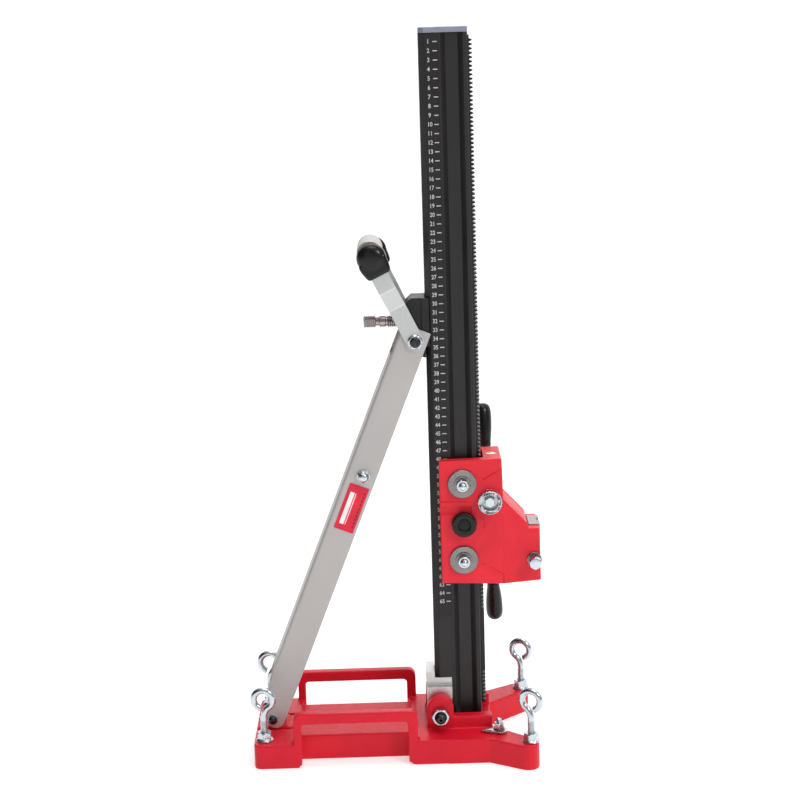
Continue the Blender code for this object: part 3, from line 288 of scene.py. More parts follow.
# ---------------------------------------------------------------- mesh helpers
def piece(name, shape, material, matrix=None, sharp=32):
    """An object from a bmesh in millimetres."""
    bmesh.ops.scale(shape, vec=(MM, MM, MM), verts=shape.verts)
    mesh = bpy.data.meshes.new(name)
    shape.to_mesh(mesh)
    shape.free()
    mesh.shade_smooth()
    mesh.set_sharp_from_angle(angle=math.radians(sharp))
    mesh.materials.append(material)
    made = bpy.data.objects.new(name, mesh)
    if matrix is not None:
        made.matrix_world = matrix
    LINK(made)
    return made


def loft(rings, closed=False):
    """A closed skin through rings of points; a ring of one point is a tip."""
    shape = bmesh.new()
    loops = [[shape.verts.new(point) for point in ring] for ring in rings]
    pairs = list(zip(loops, loops[1:]))
    if closed:
        pairs.append((loops[-1], loops[0]))
    for low, high in pairs:
        count = max(len(low), len(high))
        for here in range(count):
            after = here + 1
            corners = [low[here % len(low)], low[after % len(low)], high[after % len(high)],
                       high[here % len(high)]]
            corners = list(dict.fromkeys(corners))
            if len(corners) > 2:
                shape.faces.new(corners)
    for end in (loops[0], loops[-1]):
        if len(end) > 2 and not closed:
            shape.faces.new(end)
    bmesh.ops.recalc_face_normals(shape, faces=shape.faces)
    return shape


def hexed(across, limit=99.0):
    """A hexagon's radius at an angle, held under a round limit, as on a chamfered nut."""
    def radius(angle, _height):
        return min(across / 2 / math.cos((angle + TURN / 12) % (TURN / 6) - TURN / 12), limit)
    return radius


def threaded(radius, pitch, depth):
    def at(angle, height):
        return radius - depth * abs((height / pitch - angle / TURN) % 1 * 2 - 1)
    return at


def thread(radius, low, high, pitch=1.5, depth=0.7, per_turn=6):
    """Profile entries down a threaded stretch."""
    count = max(2, round((high - low) / pitch * per_turn))
    cut = threaded(radius, pitch, depth)
    return [(cut, high - (high - low) * index / count) for index in range(count + 1)]


def axis_matrix(base, axis, roll=0.0):
    turn = Vector(axis).to_track_quat("Z", "Y").to_matrix().to_4x4()
    return Matrix.Translation(Vector(base) * MM) @ turn @ Matrix.Rotation(roll, 4, "Z")


def turned(name, profile, base, axis, material, sides=60, closed=False, bevel=0.3, roll=0.0):
    """A turned piece from (radius, height) entries; a radius may be a function of the angle."""
    rings = []
    for radius, height in profile:
        if radius == 0:
            rings.append([(0, 0, height)])
            continue
        ring = []
        for index in range(sides):
            angle = TURN * index / sides
            here = radius(angle, height) if callable(radius) else radius
            ring.append((here * math.cos(angle), here * math.sin(angle), height))
        rings.append(ring)
    made = piece(name, loft(rings, closed), material, axis_matrix(base, axis, roll))
    return soften(made, bevel) if bevel else made


def washer(hole, rim, low, high, edge=0.2):
    """A flat ring's profile, with its outer edge broken."""
    return [(hole, high), (rim - edge, high), (rim, high - edge), (rim, low), (hole, low)]


def level(made):
    """Takes a piece's turn into its mesh, so that its box is no larger than it is."""
    turn = made.matrix_world.to_3x3().to_4x4()
    made.data.transform(turn)
    made.matrix_world = Matrix.Translation(made.matrix_world.translation)
    return made


def soften(made, width, segments=2, angle=38):
    """Small rounded edges that catch the light."""
    modifier = made.modifiers.new("edges", "BEVEL")
    modifier.width = width * MM
    modifier.segments = segments
    modifier.limit_method = "ANGLE"
    modifier.angle_limit = math.radians(angle)
    modifier.harden_normals = True
    return made


def flatten(made):
    """Shades each large face flat, so that only the rounded edges between them blend."""
    modifier = made.modifiers.new("flat", "WEIGHTED_NORMAL")
    modifier.keep_sharp = True
    modifier.weight = 100
    return made


PLANES = {
    "XY": Matrix(((1, 0, 0), (0, 1, 0), (0, 0, 1))),
    "XZ": Matrix(((1, 0, 0), (0, 0, 1), (0, 1, 0))),
    "YZ": Matrix(((0, 0, 1), (1, 0, 0), (0, 1, 0))),
}


def slab(name, points, plane, low, high, material=None, bevel=0.0, segments=3):
    """A flat outline given thickness from low to high across its plane."""
    shape = bmesh.new()
    turn = PLANES[plane]
    corners = [shape.verts.new(turn @ Vector((*point, low))) for point in points]
    grown = bmesh.ops.extrude_face_region(shape, geom=[shape.faces.new(corners)], use_keep_orig=True)
    moved = [item for item in grown["geom"] if isinstance(item, bmesh.types.BMVert)]
    bmesh.ops.translate(shape, vec=turn @ Vector((0, 0, high - low)), verts=moved)
    bmesh.ops.recalc_face_normals(shape, faces=shape.faces)
    made = piece(name, shape, material or BASE_RED)
    return soften(made, bevel, segments) if bevel else made


def block(name, low, high, material=None, bevel=0.0):
    outline = [(low[0], low[1]), (high[0], low[1]), (high[0], high[1]), (low[0], high[1])]
    return slab(name, outline, "XY", low[2], high[2], material, bevel)


def bar(name, start, end, radius, material=None, sides=48):
    along = Vector(end) - Vector(start)
    return turned(name, [(radius, along.length), (radius, 0)], start, along, material or BASE_RED,
                  sides, bevel=0.0)


def combine(target, tool, operation):
    modifier = target.modifiers.new("join", "BOOLEAN")
    modifier.operation = operation
    modifier.solver = "EXACT"
    modifier.object = tool
    settle(target)
    bpy.data.objects.remove(tool, do_unlink=True)
    return target


def cut(target, *tools):
    for tool in tools:
        combine(target, tool, "DIFFERENCE")
    return target


def join(target, *tools):
    for tool in tools:
        combine(target, tool, "UNION")
    return target


def settle(made):
    """Applies a piece's modifiers."""
    bpy.context.view_layer.update()
    seen = made.evaluated_get(bpy.context.evaluated_depsgraph_get())
    mesh = bpy.data.meshes.new_from_object(seen)
    made.modifiers.clear()
    made.data = mesh
    return made


def merge(name, *pieces):
    """One object from several, without cutting them into each other."""
    first = pieces[0]
    shape = bmesh.new()
    for made in pieces:
        settle(made)
        part = made.data.copy()
        part.transform(first.matrix_world.inverted() @ made.matrix_world)
        start = len(shape.faces)
        shape.from_mesh(part)
        shape.faces.ensure_lookup_table()
        slot = first.data.materials.find(made.data.materials[0].name)
        if slot < 0:
            first.data.materials.append(made.data.materials[0])
            slot = len(first.data.materials) - 1
        for index in range(start, len(shape.faces)):
            shape.faces[index].material_index = slot
    shape.to_mesh(first.data)
    shape.free()
    first.name = name
    for made in pieces[1:]:
        bpy.data.objects.remove(made, do_unlink=True)
    return first


def arc(centre, radius, start, end, steps):
    angles = [math.radians(start + (end - start) * i / steps) for i in range(steps + 1)]
    return [(centre[0] + radius * math.cos(a), centre[1] + radius * math.sin(a)) for a in angles]


def filleted(points, radius, steps=5):
    """An outline with its corners rounded."""
    rounded = []
    for index, point in enumerate(points):
        corner = Vector(point)
        before = Vector(points[index - 1]) - corner
        after = Vector(points[(index + 1) % len(points)]) - corner
        half = before.angle(after) / 2
        reach = min(radius / math.tan(half), before.length * 0.45, after.length * 0.45)
        start = corner + before.normalized() * reach
        end = corner + after.normalized() * reach
        for step in range(steps + 1):
            share = step / steps
            rounded.append(tuple(start.lerp(corner, share).lerp(corner.lerp(end, share), share)))
    return rounded


def rounded_skin(made, voxel, steps, ratio):
    """Rounds every edge of a solid: a fine remesh, some smoothing, then fewer faces."""
    grid = made.modifiers.new("grid", "REMESH")
    grid.mode = "VOXEL"
    grid.voxel_size = voxel * MM
    ease = made.modifiers.new("ease", "SMOOTH")
    ease.factor = 0.5
    ease.iterations = steps
    settle(made)
    thin = made.modifiers.new("thin", "DECIMATE")
    thin.ratio = ratio(len(made.data.polygons))
    settle(made)
    made.data.shade_smooth()


def show(made, body, slot, *nodes):
    """Hangs a finished piece on its body and hides the CAD nodes it stands for."""
    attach(made, body)
    if nodes:
        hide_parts(*nodes)
    return made


def fasten(name, profile, base, axis, body, *nodes, material=None, slot="bright_zinc", **shape):
    """A turned piece of bright zinc, unless it says otherwise, on its body."""
    return show(turned(name, profile, base, axis, material or ZINC, **shape), body, slot, *nodes)


def dress(node, material, bevel=0.3, angle=30):
    """Keeps a CAD node, with a better material and softened edges."""
    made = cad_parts[node]
    made.data.materials.clear()
    made.data.materials.append(material)
    weld = made.modifiers.new("weld", "WELD")
    weld.merge_threshold = 0.00001
    flat = made.modifiers.new("flat", "DECIMATE")
    flat.decimate_type = "DISSOLVE"
    flat.angle_limit = math.radians(0.5)
    soften(made, bevel, 2, angle)
    return made


# ---------------------------------------------------------------- column
def make_column():
    dress("column_extrusion", BLACK, 0.4)
    dress("column_end_plate", CAP_ALUMINIUM, 0.6)
    dress("feed_rack", RACK_STEEL, 0.18)
    low, high = span("ruler_strip")
    strip = block("ruler_plate", low, high, RULER_BLACK, 0.15)
    show(strip, "column", "ruler_print", "ruler_strip")
    for side in ("near", "far"):
        node = "end_plate_screw_" + side
        low, high = span(node)
        centre = middle(node)
        head = high.z - 0.05               # just under the end plate's face
        profile = [(0, head - 1.8), (hexed(2.5), head - 1.8), (hexed(2.5), head), (3.8, head),
                   (3.8, head - 2.6), (2.1, head - 2.7)]
        profile += thread(2.1, low.z, head - 2.8, 0.8, 0.35) + [(0, low.z)]
        fasten("cap_screw_" + side, profile, (centre.x, centre.y, 0), UP, "column", node, bevel=0.12)


RULER_FIRST = 817.6            # height of the first mark
RULER_STEP = 10.0
RULER_COUNT = 65
DIGIT_HEIGHT = 4.9
DIGIT_X = -16.3
TICK_X = (-11.4, -6.5)


def make_ruler():
    """Centimetre marks and their numbers, printed white down the ruler."""
    shape = bmesh.new()
    top = span("column_extrusion")[0].y
    back = top + 0.06               # the print's thickness
    for index in range(RULER_COUNT):
        height = RULER_FIRST - RULER_STEP * index
        text = bpy.data.curves.new("number", "FONT")
        text.body = str(index + 1)
        text.size = DIGIT_HEIGHT * 1.38
        text.align_x = "CENTER"
        text.align_y = "CENTER"
        text.extrude = 0.03
        text.offset = 0.1
        text.resolution_u = 3
        guide = bpy.data.objects.new("number", text)
        LINK(guide)
        bpy.context.view_layer.update()
        seen = guide.evaluated_get(bpy.context.evaluated_depsgraph_get())
        mesh = bpy.data.meshes.new_from_object(seen)
        place = Matrix.Translation((DIGIT_X, (top + back) / 2, height))
        mesh.transform(place @ Matrix.Rotation(math.pi / 2, 4, "X") @ Matrix.Diagonal((0.84, 1, 1, 1)))
        shape.from_mesh(mesh)
        bpy.data.objects.remove(guide, do_unlink=True)
        bpy.data.meshes.remove(mesh)
        low = Vector((TICK_X[0], top, height - 0.5))
        high = Vector((TICK_X[1], back, height + 0.5))
        made = bmesh.ops.create_cube(shape, size=1.0)["verts"]
        bmesh.ops.scale(shape, vec=high - low, verts=made)
        bmesh.ops.translate(shape, vec=(low + high) / 2, verts=made)
    bmesh.ops.remove_doubles(shape, verts=shape.verts, dist=0.002)
    show(piece("ruler_numbers", shape, RULER_WHITE), "column", "ruler_print")


def make_pivot_block():
    dress("pivot_block", ALUMINIUM, 0.6)
    for side in ("near", "far"):
        node = "pivot_block_screw_" + side
        centre = middle(node)
        profile = [(0, -2), (hexed(2.4), -2), (hexed(2.4), -0.4), (2.3, -0.4), (2.55, -0.6), (2.6, -3.5),
                   (1.65, -3.7)]
        profile += thread(1.65, -17, -3.8, 0.7, 0.3) + [(0, -17)]
        base = (span(node)[0].x - 0.3, centre.y, centre.z)
        fasten("block_screw_" + side, profile, base, REAR, "column", node, material=OXIDE,
               slot="black_oxide", bevel=0.1)


# ---------------------------------------------------------------- base
def cast_copy(name, node, material, voxel, steps, faces, *tools):
    """A casting's skin over a CAD solid, with its edges rounded."""
    made = bpy.data.objects.new(name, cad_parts[node].data.copy())
    LINK(made)
    made.data.materials.clear()
    made.data.materials.append(material)
    weld = made.modifiers.new("weld", "WELD")
    weld.merge_threshold = 0.00001
    settle(made)
    cut(made, *tools)
    rounded_skin(made, voxel, steps, lambda count: min(1.0, faces / (count * 2)))
    return made


def make_base():
    """The base casting, with lines cut along and across the top of its beam."""
    beam_low, beam_high, beam_top = -176, -70, 29.8
    half = 0.7                     # half of a line's width, and its depth
    low, high = beam_top - half, beam_top + 2
    tools = [block("beam_line", (x, -50, low), (x + 2 * half, 50, high)) for x in (beam_low, beam_high)]
    for y in (-27, 27):
        tools.append(block("beam_line", (beam_low, y - half, low), (beam_high, y + half, high)))
    casting = cast_copy("base_skin", "base_casting", BASE_RED, 1.15, 5, 90000, *tools)
    show(casting, "base", "red_paint", "base_casting")


def make_pivot_bolt():
    low, high = span("pivot_bolt")
    centre = middle("pivot_nut")
    nut_low, nut_high = span("pivot_nut")
    x, z = centre.x, centre.z
    end = -low.y
    face = high.y - 8
    seat = -nut_high.y
    dark = {"material": OXIDE, "slot": "black_oxide"}
    profile = [(0, end - 4), (1.4, end - 4), (1.7, end - 0.4), (3.6, end), (4.8, end - 0.5),
               (5.7, end - 1.6)]
    profile += thread(6, seat, end - 1.8, 1.75, 0.5) + [(6, seat - 0.2), (6, -face), (0, -face)]
    fasten("pivot_shaft", profile, (x, 0, z), NEAR, "base", "pivot_bolt", bevel=0, **dark)
    across = 18
    head = [(0, 8), (hexed(across, 9.4), 8), (hexed(across, 10.0), 7.3), (hexed(across), 6.4),
            (hexed(across), 0.3), (0, 0.3)]
    fasten("pivot_head", head, (x, face, z), FAR, "base", **dark)
    thick = nut_high.y - nut_low.y
    nut = [(6.55, 0), (hexed(across, 9.6), 0), (hexed(across, 10.2), 0.6), (hexed(across), 1.3),
           (hexed(across), thick - 1.3), (hexed(across, 10.0), thick - 0.6),
           (hexed(across, 9.2), thick), (7.2, thick), (6.55, thick - 0.7)]
    fasten("pivot_hex_nut", nut, (x, nut_high.y, z), NEAR, "base", "pivot_nut", closed=True,
           bevel=0.15, roll=math.pi / 6)


def nut_profile(across, low, high, hole):
    """A chamfered hexagon nut with a bore."""
    edge = 0.075 * across
    return [(hole, high - 0.5), (hole + 0.5, high), (hexed(across, across * 0.5), high),
            (hexed(across, across * 0.545), high - edge * 0.6), (hexed(across), high - edge),
            (hexed(across), low + edge), (hexed(across, across * 0.545), low + edge * 0.6),
            (hexed(across, across * 0.5), low), (hole, low)]


def make_stud():
    low, high = span("wall_stud")
    centre = middle("wall_stud")
    base = (centre.x, centre.y, 0)
    profile = [(0, high.z), (2.8, high.z)] + thread(4, low.z, high.z - 0.9, 1.25, 0.5) + [(0, low.z)]
    fasten("stud_rod", profile, base, UP, "base", "wall_stud", bevel=0)
    fasten("stud_washer", washer(4.1, 8.4, 44.4, 46), base, UP, "base", material=WASHER, closed=True,
           bevel=0.1)
    fasten("stud_nut", nut_profile(13, 46.1, 53, 4.1), base, UP, "base", closed=True, bevel=0.1)


def make_pointer():
    low, high = span("index_pointer")
    centre = middle("pointer_screw")
    x, y = centre.x, centre.y
    outline = arc((x, y), 9.5, -72, 72, 24) + arc((x - 18.5, y + 1.5), 2.5, 100, 260, 10)
    plate = slab("pointer_plate", outline, "XY", low.z, high.z, ZINC, 0.5)
    cut(settle(plate), bar("hole", (x, y, 20), (x, y, 40), 3.4, sides=32))
    show(plate, "pointer", "bright_zinc", "index_pointer")
    bottom, top = (corner.z for corner in span("pointer_screw"))
    profile = [(0, top), (2.1, top)] + thread(3, bottom, top - 0.7, 1.0, 0.4) + [(0, bottom)]
    fasten("pointer_stud", profile, (x, y, 0), UP, "base", "pointer_screw", bevel=0)
    fasten("pointer_washer", washer(3.1, 6.4, high.z + 0.4, 34.2), (x, y, 0), UP, "base",
           material=WASHER, closed=True, bevel=0.1)
    fasten("pointer_nut", nut_profile(10.6, 34.3, 41.2, 3.1), (x, y, 0), UP, "base", closed=True,
           bevel=0.1)


FEET = ("front_near", "front_far", "rear_near", "rear_far")
EYE_HEADINGS = (152.0, 157.0, -6.0, -4.0)
EYE_LIFTS = (0.0, 0.0, 0.0, 4.0)
EYE_WIRE = 3.85
EYE_RADIUS = 11.1
EYE_CENTRE = 78.2
SHANK_RADIUS = 4.2


def wire_ring(point, along, radius, count=28):
    """A ring of points round a wire that lies in the XZ plane."""
    side = Vector((0, 1, 0))
    out = side.cross(Vector(along).normalized())
    return [Vector(point) + (out * math.cos(TURN * i / count) + side * math.sin(TURN * i / count)) * radius
            for i in range(count)]


def make_eye(name, heading, lift):
    node = "eye_screw_" + name
    pad = middle("level_pad_" + name)
    bottom = span(node)[0].z
    cut_to = threaded(SHANK_RADIUS, 1.25, 0.3)
    rings = [[(0, 0, bottom)]]
    steps = 210
    top = 53.0 + lift
    for index in range(steps + 1):
        height = bottom + (top - bottom) * index / steps
        fade = min(1.0, (height - bottom) / 1.2 + 0.7)
        ring = []
        for turn in range(28):
            angle = TURN * turn / 28
            radius = cut_to(-angle, height) * fade
            ring.append((radius * math.cos(angle), radius * math.sin(angle), height))
        rings.append(ring)
    path = [(0, 55.0), (0.1, 57.4), (0.4, 60.0), (1.3, 63.2)]
    path += arc((0, EYE_CENTRE), EYE_RADIUS, -66, 249, 54)
    centre_line = [Vector((across, 0, up + lift)) for across, up in path]
    for index, point in enumerate(centre_line):
        before = centre_line[max(0, index - 1)]
        after = centre_line[min(len(centre_line) - 1, index + 1)]
        radius = 4.0 if index < 2 else EYE_WIRE
        rings.append(wire_ring(point, after - before, radius))
    last, along = centre_line[-1], (centre_line[-1] - centre_line[-2]).normalized()
    rings.append(wire_ring(last + along * 0.5, along, EYE_WIRE - 0.5))
    rings.append([last + along * 0.6])
    place = Matrix.Translation((pad.x * MM, pad.y * MM, 0))
    turn = Matrix.Rotation(math.radians(heading), 4, "Z")
    eye = piece("eye_" + name, loft(rings), ZINC, place @ turn, 50)
    show(level(eye), "eye_" + name, "bright_zinc", node)


def make_levelling(name, heading, lift):
    make_eye(name, heading, lift)
    pad = middle("level_pad_" + name)
    low, high = span("level_pad_" + name)
    base = (pad.x, pad.y, 0)
    profile = [(0, high.z), (3, high.z), (3.4, high.z - 0.4), (7.0, 3.3), (7.4, 2.8), (7.4, 1.2),
               (7.0, low.z), (0, low.z)]
    fasten("pad_" + name, profile, base, UP, "pad_" + name, "level_pad_" + name, material=WASHER,
           bevel=0)
    low, high = span("lock_nut_" + name)
    hole = SHANK_RADIUS + 0.25
    across = 15.2
    profile = [(hole, high.z - 0.5), (hole + 0.5, high.z), (hexed(across, 7.6), high.z),
               (hexed(across, 8.2), high.z - 0.7), (hexed(across), high.z - 1.2),
               (hexed(across), low.z + 3.2),
               (hexed(16, 8.9), low.z + 2.7), (9.6, low.z + 1.5), (10.0, low.z + 0.9),
               (10.0, low.z + 0.3), (9.7, low.z), (hole, low.z)]
    fasten("flange_nut_" + name, profile, base, UP, "base", "lock_nut_" + name, closed=True,
           bevel=0.1, roll=math.radians(heading))


# ---------------------------------------------------------------- brace
BRACE_TOP = middle("lever_pivot_bolt")
BRACE_FOOT = middle("brace_foot_bolt")
ALONG = Vector((BRACE_TOP.x - BRACE_FOOT.x, BRACE_TOP.z - BRACE_FOOT.z))
BRACE_LENGTH = ALONG.length
ALONG.normalize()
OUT = Vector((-ALONG.y, ALONG.x))
BRACE_FRONT, BRACE_BACK = -13.8, 20.6
BRACE_INNER, BRACE_OUTER = 20.5, 23.0
BRACE_WEB = (60.0, 455.0)      # the web's ends along the brace
CROSS_BOLT = (313.3, 1.1)      # along the brace, and back from its line


def brace_point(up, back, across=0.0):
    return Vector((BRACE_FOOT.x + ALONG.x * up + OUT.x * back, across,
                   BRACE_FOOT.z + ALONG.y * up + OUT.y * back))


def brace_flat(corners):
    return [(point.x, point.z) for point in (brace_point(*corner) for corner in corners)]


def make_brace():
    """A sheet-metal channel: its web is folded into two cheeks, which run on past it at both ends."""
    fold, inner_fold = 4.2, 1.7
    outer = arc((BRACE_BACK - fold, BRACE_OUTER - fold), fold, 90, 0, 7)
    inner = arc((BRACE_BACK - fold, BRACE_OUTER - fold), inner_fold, 0, 90, 5)
    half = [(BRACE_FRONT, BRACE_INNER), (BRACE_FRONT, BRACE_OUTER)] + outer
    section = half + [(back, -across) for back, across in reversed(half)]
    section += [(back, -across) for back, across in reversed(inner)] + inner
    rings = [[brace_point(up, back, across) for back, across in section]
             for up in (-22, BRACE_LENGTH + 14)]
    brace = piece("brace_sheet", loft(rings), STRAP)
    for low, high in ((-60, BRACE_WEB[0]), (BRACE_WEB[1], BRACE_LENGTH + 60)):
        corners = brace_flat(((low, -30), (high, -30), (high, 40), (low, 40)))
        cut(brace, slab("end_gap", corners, "XZ", -BRACE_INNER, BRACE_INNER))
    foot = arc((1.5, -2.8), 11.0, 95, 270, 24)
    length = BRACE_LENGTH + 14
    rim = [(length - 1, BRACE_FRONT), (length, BRACE_FRONT + 1), (length, BRACE_BACK - 4),
           (length - 4, BRACE_BACK)]
    outline = rim + [(52, BRACE_BACK), (46, BRACE_BACK - 0.4), (24, 14.6), (16, 12.2)] + foot
    combine(brace, slab("outline", brace_flat(outline), "XZ", -30, 30), "INTERSECT")
    places = ((BRACE_LENGTH, 0, 6.5), (0, 0, 5.4), (*CROSS_BOLT, 4.5))
    for up, back, radius in places:
        cut(brace, bar("bore", brace_point(up, back, -40), brace_point(up, back, 40), radius))
    brace.data.shade_smooth()
    brace.data.set_sharp_from_angle(angle=math.radians(32))
    soften(brace, 0.35, 2, 40)
    show(brace, "brace", "grey_coat", "brace_channel")

    dome = [(0, 32.5), (1.8, 32.35), (3.4, 31.8), (4.7, 30.9), (5.5, 29.8), (5.7, 28.4),
            (hexed(12.6, 6.8), 27.6), (hexed(12.6), 27.1), (hexed(12.6), 24.9), (7.6, 24.7), (7.8, 24.4),
            (7.8, 23.4), (4, 23.3), (4, -24.2), (0, -24.2)]
    centre = brace_point(*CROSS_BOLT)
    fasten("cross_bolt", dome, centre, NEAR, "brace", "brace_cross_bolt", bevel=0.12)
    head = [(0, 28.8), (hexed(13, 6.6), 28.8), (hexed(13), 28.0), (hexed(13), 24.6), (9, 24.5), (9, 23.3),
            (0, 23.3)]
    fasten("cross_bolt_head", head, centre, FAR, "brace", bevel=0.12)
    centre = brace_point(0, 0)
    dome = [(0, 29.4), (1.8, 29.25), (3.3, 28.7), (4.4, 27.6), (4.9, 26.3), (4.9, -25), (0, -25)]
    dark = {"material": OXIDE, "slot": "black_oxide"}
    fasten("foot_bolt", dome, centre, NEAR, "brace", "brace_foot_bolt", bevel=0, **dark)
    fasten("foot_bolt_washer", washer(5.0, 6.5, 23.3, 24.7), centre, NEAR, "brace", closed=True,
           bevel=0.1)
    head = [(0, 28.2), (hexed(12, 6.2), 28.2), (hexed(12), 27.4), (hexed(12), 23.3), (0, 23.3)]
    fasten("foot_bolt_hex", head, centre, FAR, "brace", bevel=0.12, **dark)


LABEL_UP = (245.1, 301.5)
LABEL_ACROSS = (-10.8, 12.6)


def printed(name, material, face, marks):
    """Flat marks on the label; each is (from, to) along the brace and (from, to) across it."""
    shape = bmesh.new()
    middle_up = sum(LABEL_UP) / 2
    middle_across = sum(LABEL_ACROSS) / 2
    for start, end, front, rear in marks:
        points = [brace_point(middle_up + a, middle_across + b, face) for a, b in
                  ((start, front), (end, front), (end, rear), (start, rear))]
        deep = [point + Vector((0, 0.3, 0)) for point in points]
        near = [shape.verts.new(point) for point in points]
        far = [shape.verts.new(point) for point in deep]
        shape.faces.new(near)
        shape.faces.new(list(reversed(far)))
        for index in range(4):
            after = (index + 1) % 4
            shape.faces.new((near[index], far[index], far[after], near[after]))
    bmesh.ops.recalc_face_normals(shape, faces=shape.faces)
    show(piece(name, shape, material), "brace", "label_red")


def make_label():
    """A plain red label: generic bars and dashes stand where the real one is printed."""
    low, high = span("brace_label")
    corners = filleted([(LABEL_UP[0], LABEL_ACROSS[0]), (LABEL_UP[1], LABEL_ACROSS[0]),
                        (LABEL_UP[1], LABEL_ACROSS[1]), (LABEL_UP[0], LABEL_ACROSS[1])], 0.8)
    plate = slab("label_plate", brace_flat(corners), "XZ", low.y, high.y, LABEL, 0.1)
    show(plate, "brace", "label_red", "brace_label")
    face = low.y - 0.04
    white = [(-21.0, 18.5, 2.6, 7.6), (-20.5, 18.0, 0.4, 1.2)]
    printed("label_bars", LABEL_WHITE, face, white)
    dark = [(-22.0 + 4.6 * index, -19.4 + 4.6 * index, -9.4, -7.6) for index in range(10)]
    printed("label_dashes", LABEL_DARK, face, dark)


# ---------------------------------------------------------------- clamp block and lever
def make_clamp():
    dress("clamp_block", BLOCK_BLACK, 1.1)
    dress("clamp_shoe", STEEL, 0.3)
    low, high = span("clamp_spindle")
    centre = middle("clamp_spindle")
    r = 6.8

    def flatted(angle, _height):
        return min(r, 5.9 / max(0.01, abs(math.cos(angle))))

    def notched(angle, height):
        return flatted(angle, height) - 0.55

    end, start = -low.x, -high.x
    profile = [(0, end), (2.2, end), (2.6, end - 0.6), (3.4, end - 0.6), (3.8, end), (r - 1.3, end),
               (flatted, end - 0.9)]
    for index in range(5):
        height = end - 2.2 - index * 2.2
        profile += [(flatted, height), (notched, height - 0.5), (notched, height - 0.9),
                    (flatted, height - 1.4)]
    profile += [(flatted, end - 13.2), (r - 1.9, end - 14.0), (r - 1.9, end - 17.6), (r - 0.5, end - 18.4),
                (r - 0.5, end - 24.6), (r - 1.3, end - 25.4), (r - 1.3, end - 27), (r, end - 27.8)]
    profile += thread(r, start + 1, end - 28.2, 2.0, 0.8) + [(0, start)]
    fasten("spindle_screw", profile, (0, centre.y, centre.z), REAR, "spindle", "clamp_spindle",
           material=STEEL, slot="bare_steel", bevel=0)


LEVER_ANGLE = math.radians(26)      # back from upright
LEVER_WIDTH = 10.0                  # half of a strap's width
GRIP_AT, GRIP_OUT = 111.0, -2.0     # the tie's place along the lever, and out from its line
GRIP_END = 46.0
TUBE_AT, TUBE_OUT = 112.4, -1.4
TUBE_END = 31.5
CAP_AT, CAP_OUT = 107.6, -1.2
SKIRT = ((107.5, 15.6), (102, 16.3), (97, 15.7), (86, 13.0), (86, -14.5), (93, -16.0), (107.5, -17.8))
STRAP_Y = (23.8, 26.8)
SPREAD = 9.2                        # how far each strap is cranked outwards
LEVER_AXIS = (-math.sin(LEVER_ANGLE), 0.0, math.cos(LEVER_ANGLE))
LEVER_CREASES = (44.0, 66.0)
LEVER_ZINC = creased("lever_zinc", (0.56, 0.57, 0.57), 0.52, LEVER_AXIS,
                     Vector((BRACE_TOP.x, 0, BRACE_TOP.z)).dot(Vector(LEVER_AXIS)) * MM, LEVER_CREASES)


def lever_point(up, out=0.0, across=0.0):
    along = Vector((-math.sin(LEVER_ANGLE), math.cos(LEVER_ANGLE)))
    return Vector((BRACE_TOP.x + along.x * up - along.y * out, across,
                   BRACE_TOP.z + along.y * up + along.x * out))


def make_lever():
    """Two cranked straps, joined by a bar inside the grip."""
    parts = []
    inner, outer = STRAP_Y
    middle_y = (inner + outer) / 2
    path = [(42.6, middle_y), (45.4, middle_y + 0.6), (64.6, middle_y + SPREAD - 0.6),
            (67.4, middle_y + SPREAD), (GRIP_AT, middle_y + SPREAD)]
    ends = [(-LEVER_WIDTH * math.cos(a), LEVER_WIDTH * math.sin(a)) for a in
            [math.radians(4 + 86 * i / 14) for i in range(15)]]
    stations = [(up, half, middle_y) for up, half in ends] + [(up, LEVER_WIDTH, y) for up, y in path]
    for side in (-1, 1):
        rings = []
        for up, half, y in stations:
            ring = [lever_point(up, out, side * across) for out, across in
                    ((-half, y - 1.5), (half, y - 1.5), (half, y + 1.5), (-half, y + 1.5))]
            rings.append(ring)
        arm = piece("strap", loft(rings), LEVER_ZINC, sharp=8)
        cut(arm, bar("bore", lever_point(0, 0, -60), lever_point(0, 0, 60), 6.5))
        soften(arm, 0.4, 2, 40)
        parts.append(arm)
    reach = outer + SPREAD + 0.6
    parts.append(bar("tie", lever_point(GRIP_AT, GRIP_OUT, -reach),
                     lever_point(GRIP_AT, GRIP_OUT, reach), 6.9, LEVER_ZINC))
    straps = merge("lever_straps", *parts)
    straps.data.shade_smooth()
    straps.data.set_sharp_from_angle(angle=math.radians(8))
    show(straps, "lever", "bright_zinc", "lever_frame")
    make_grip(inner, outer)
    make_lever_pivot(outer)


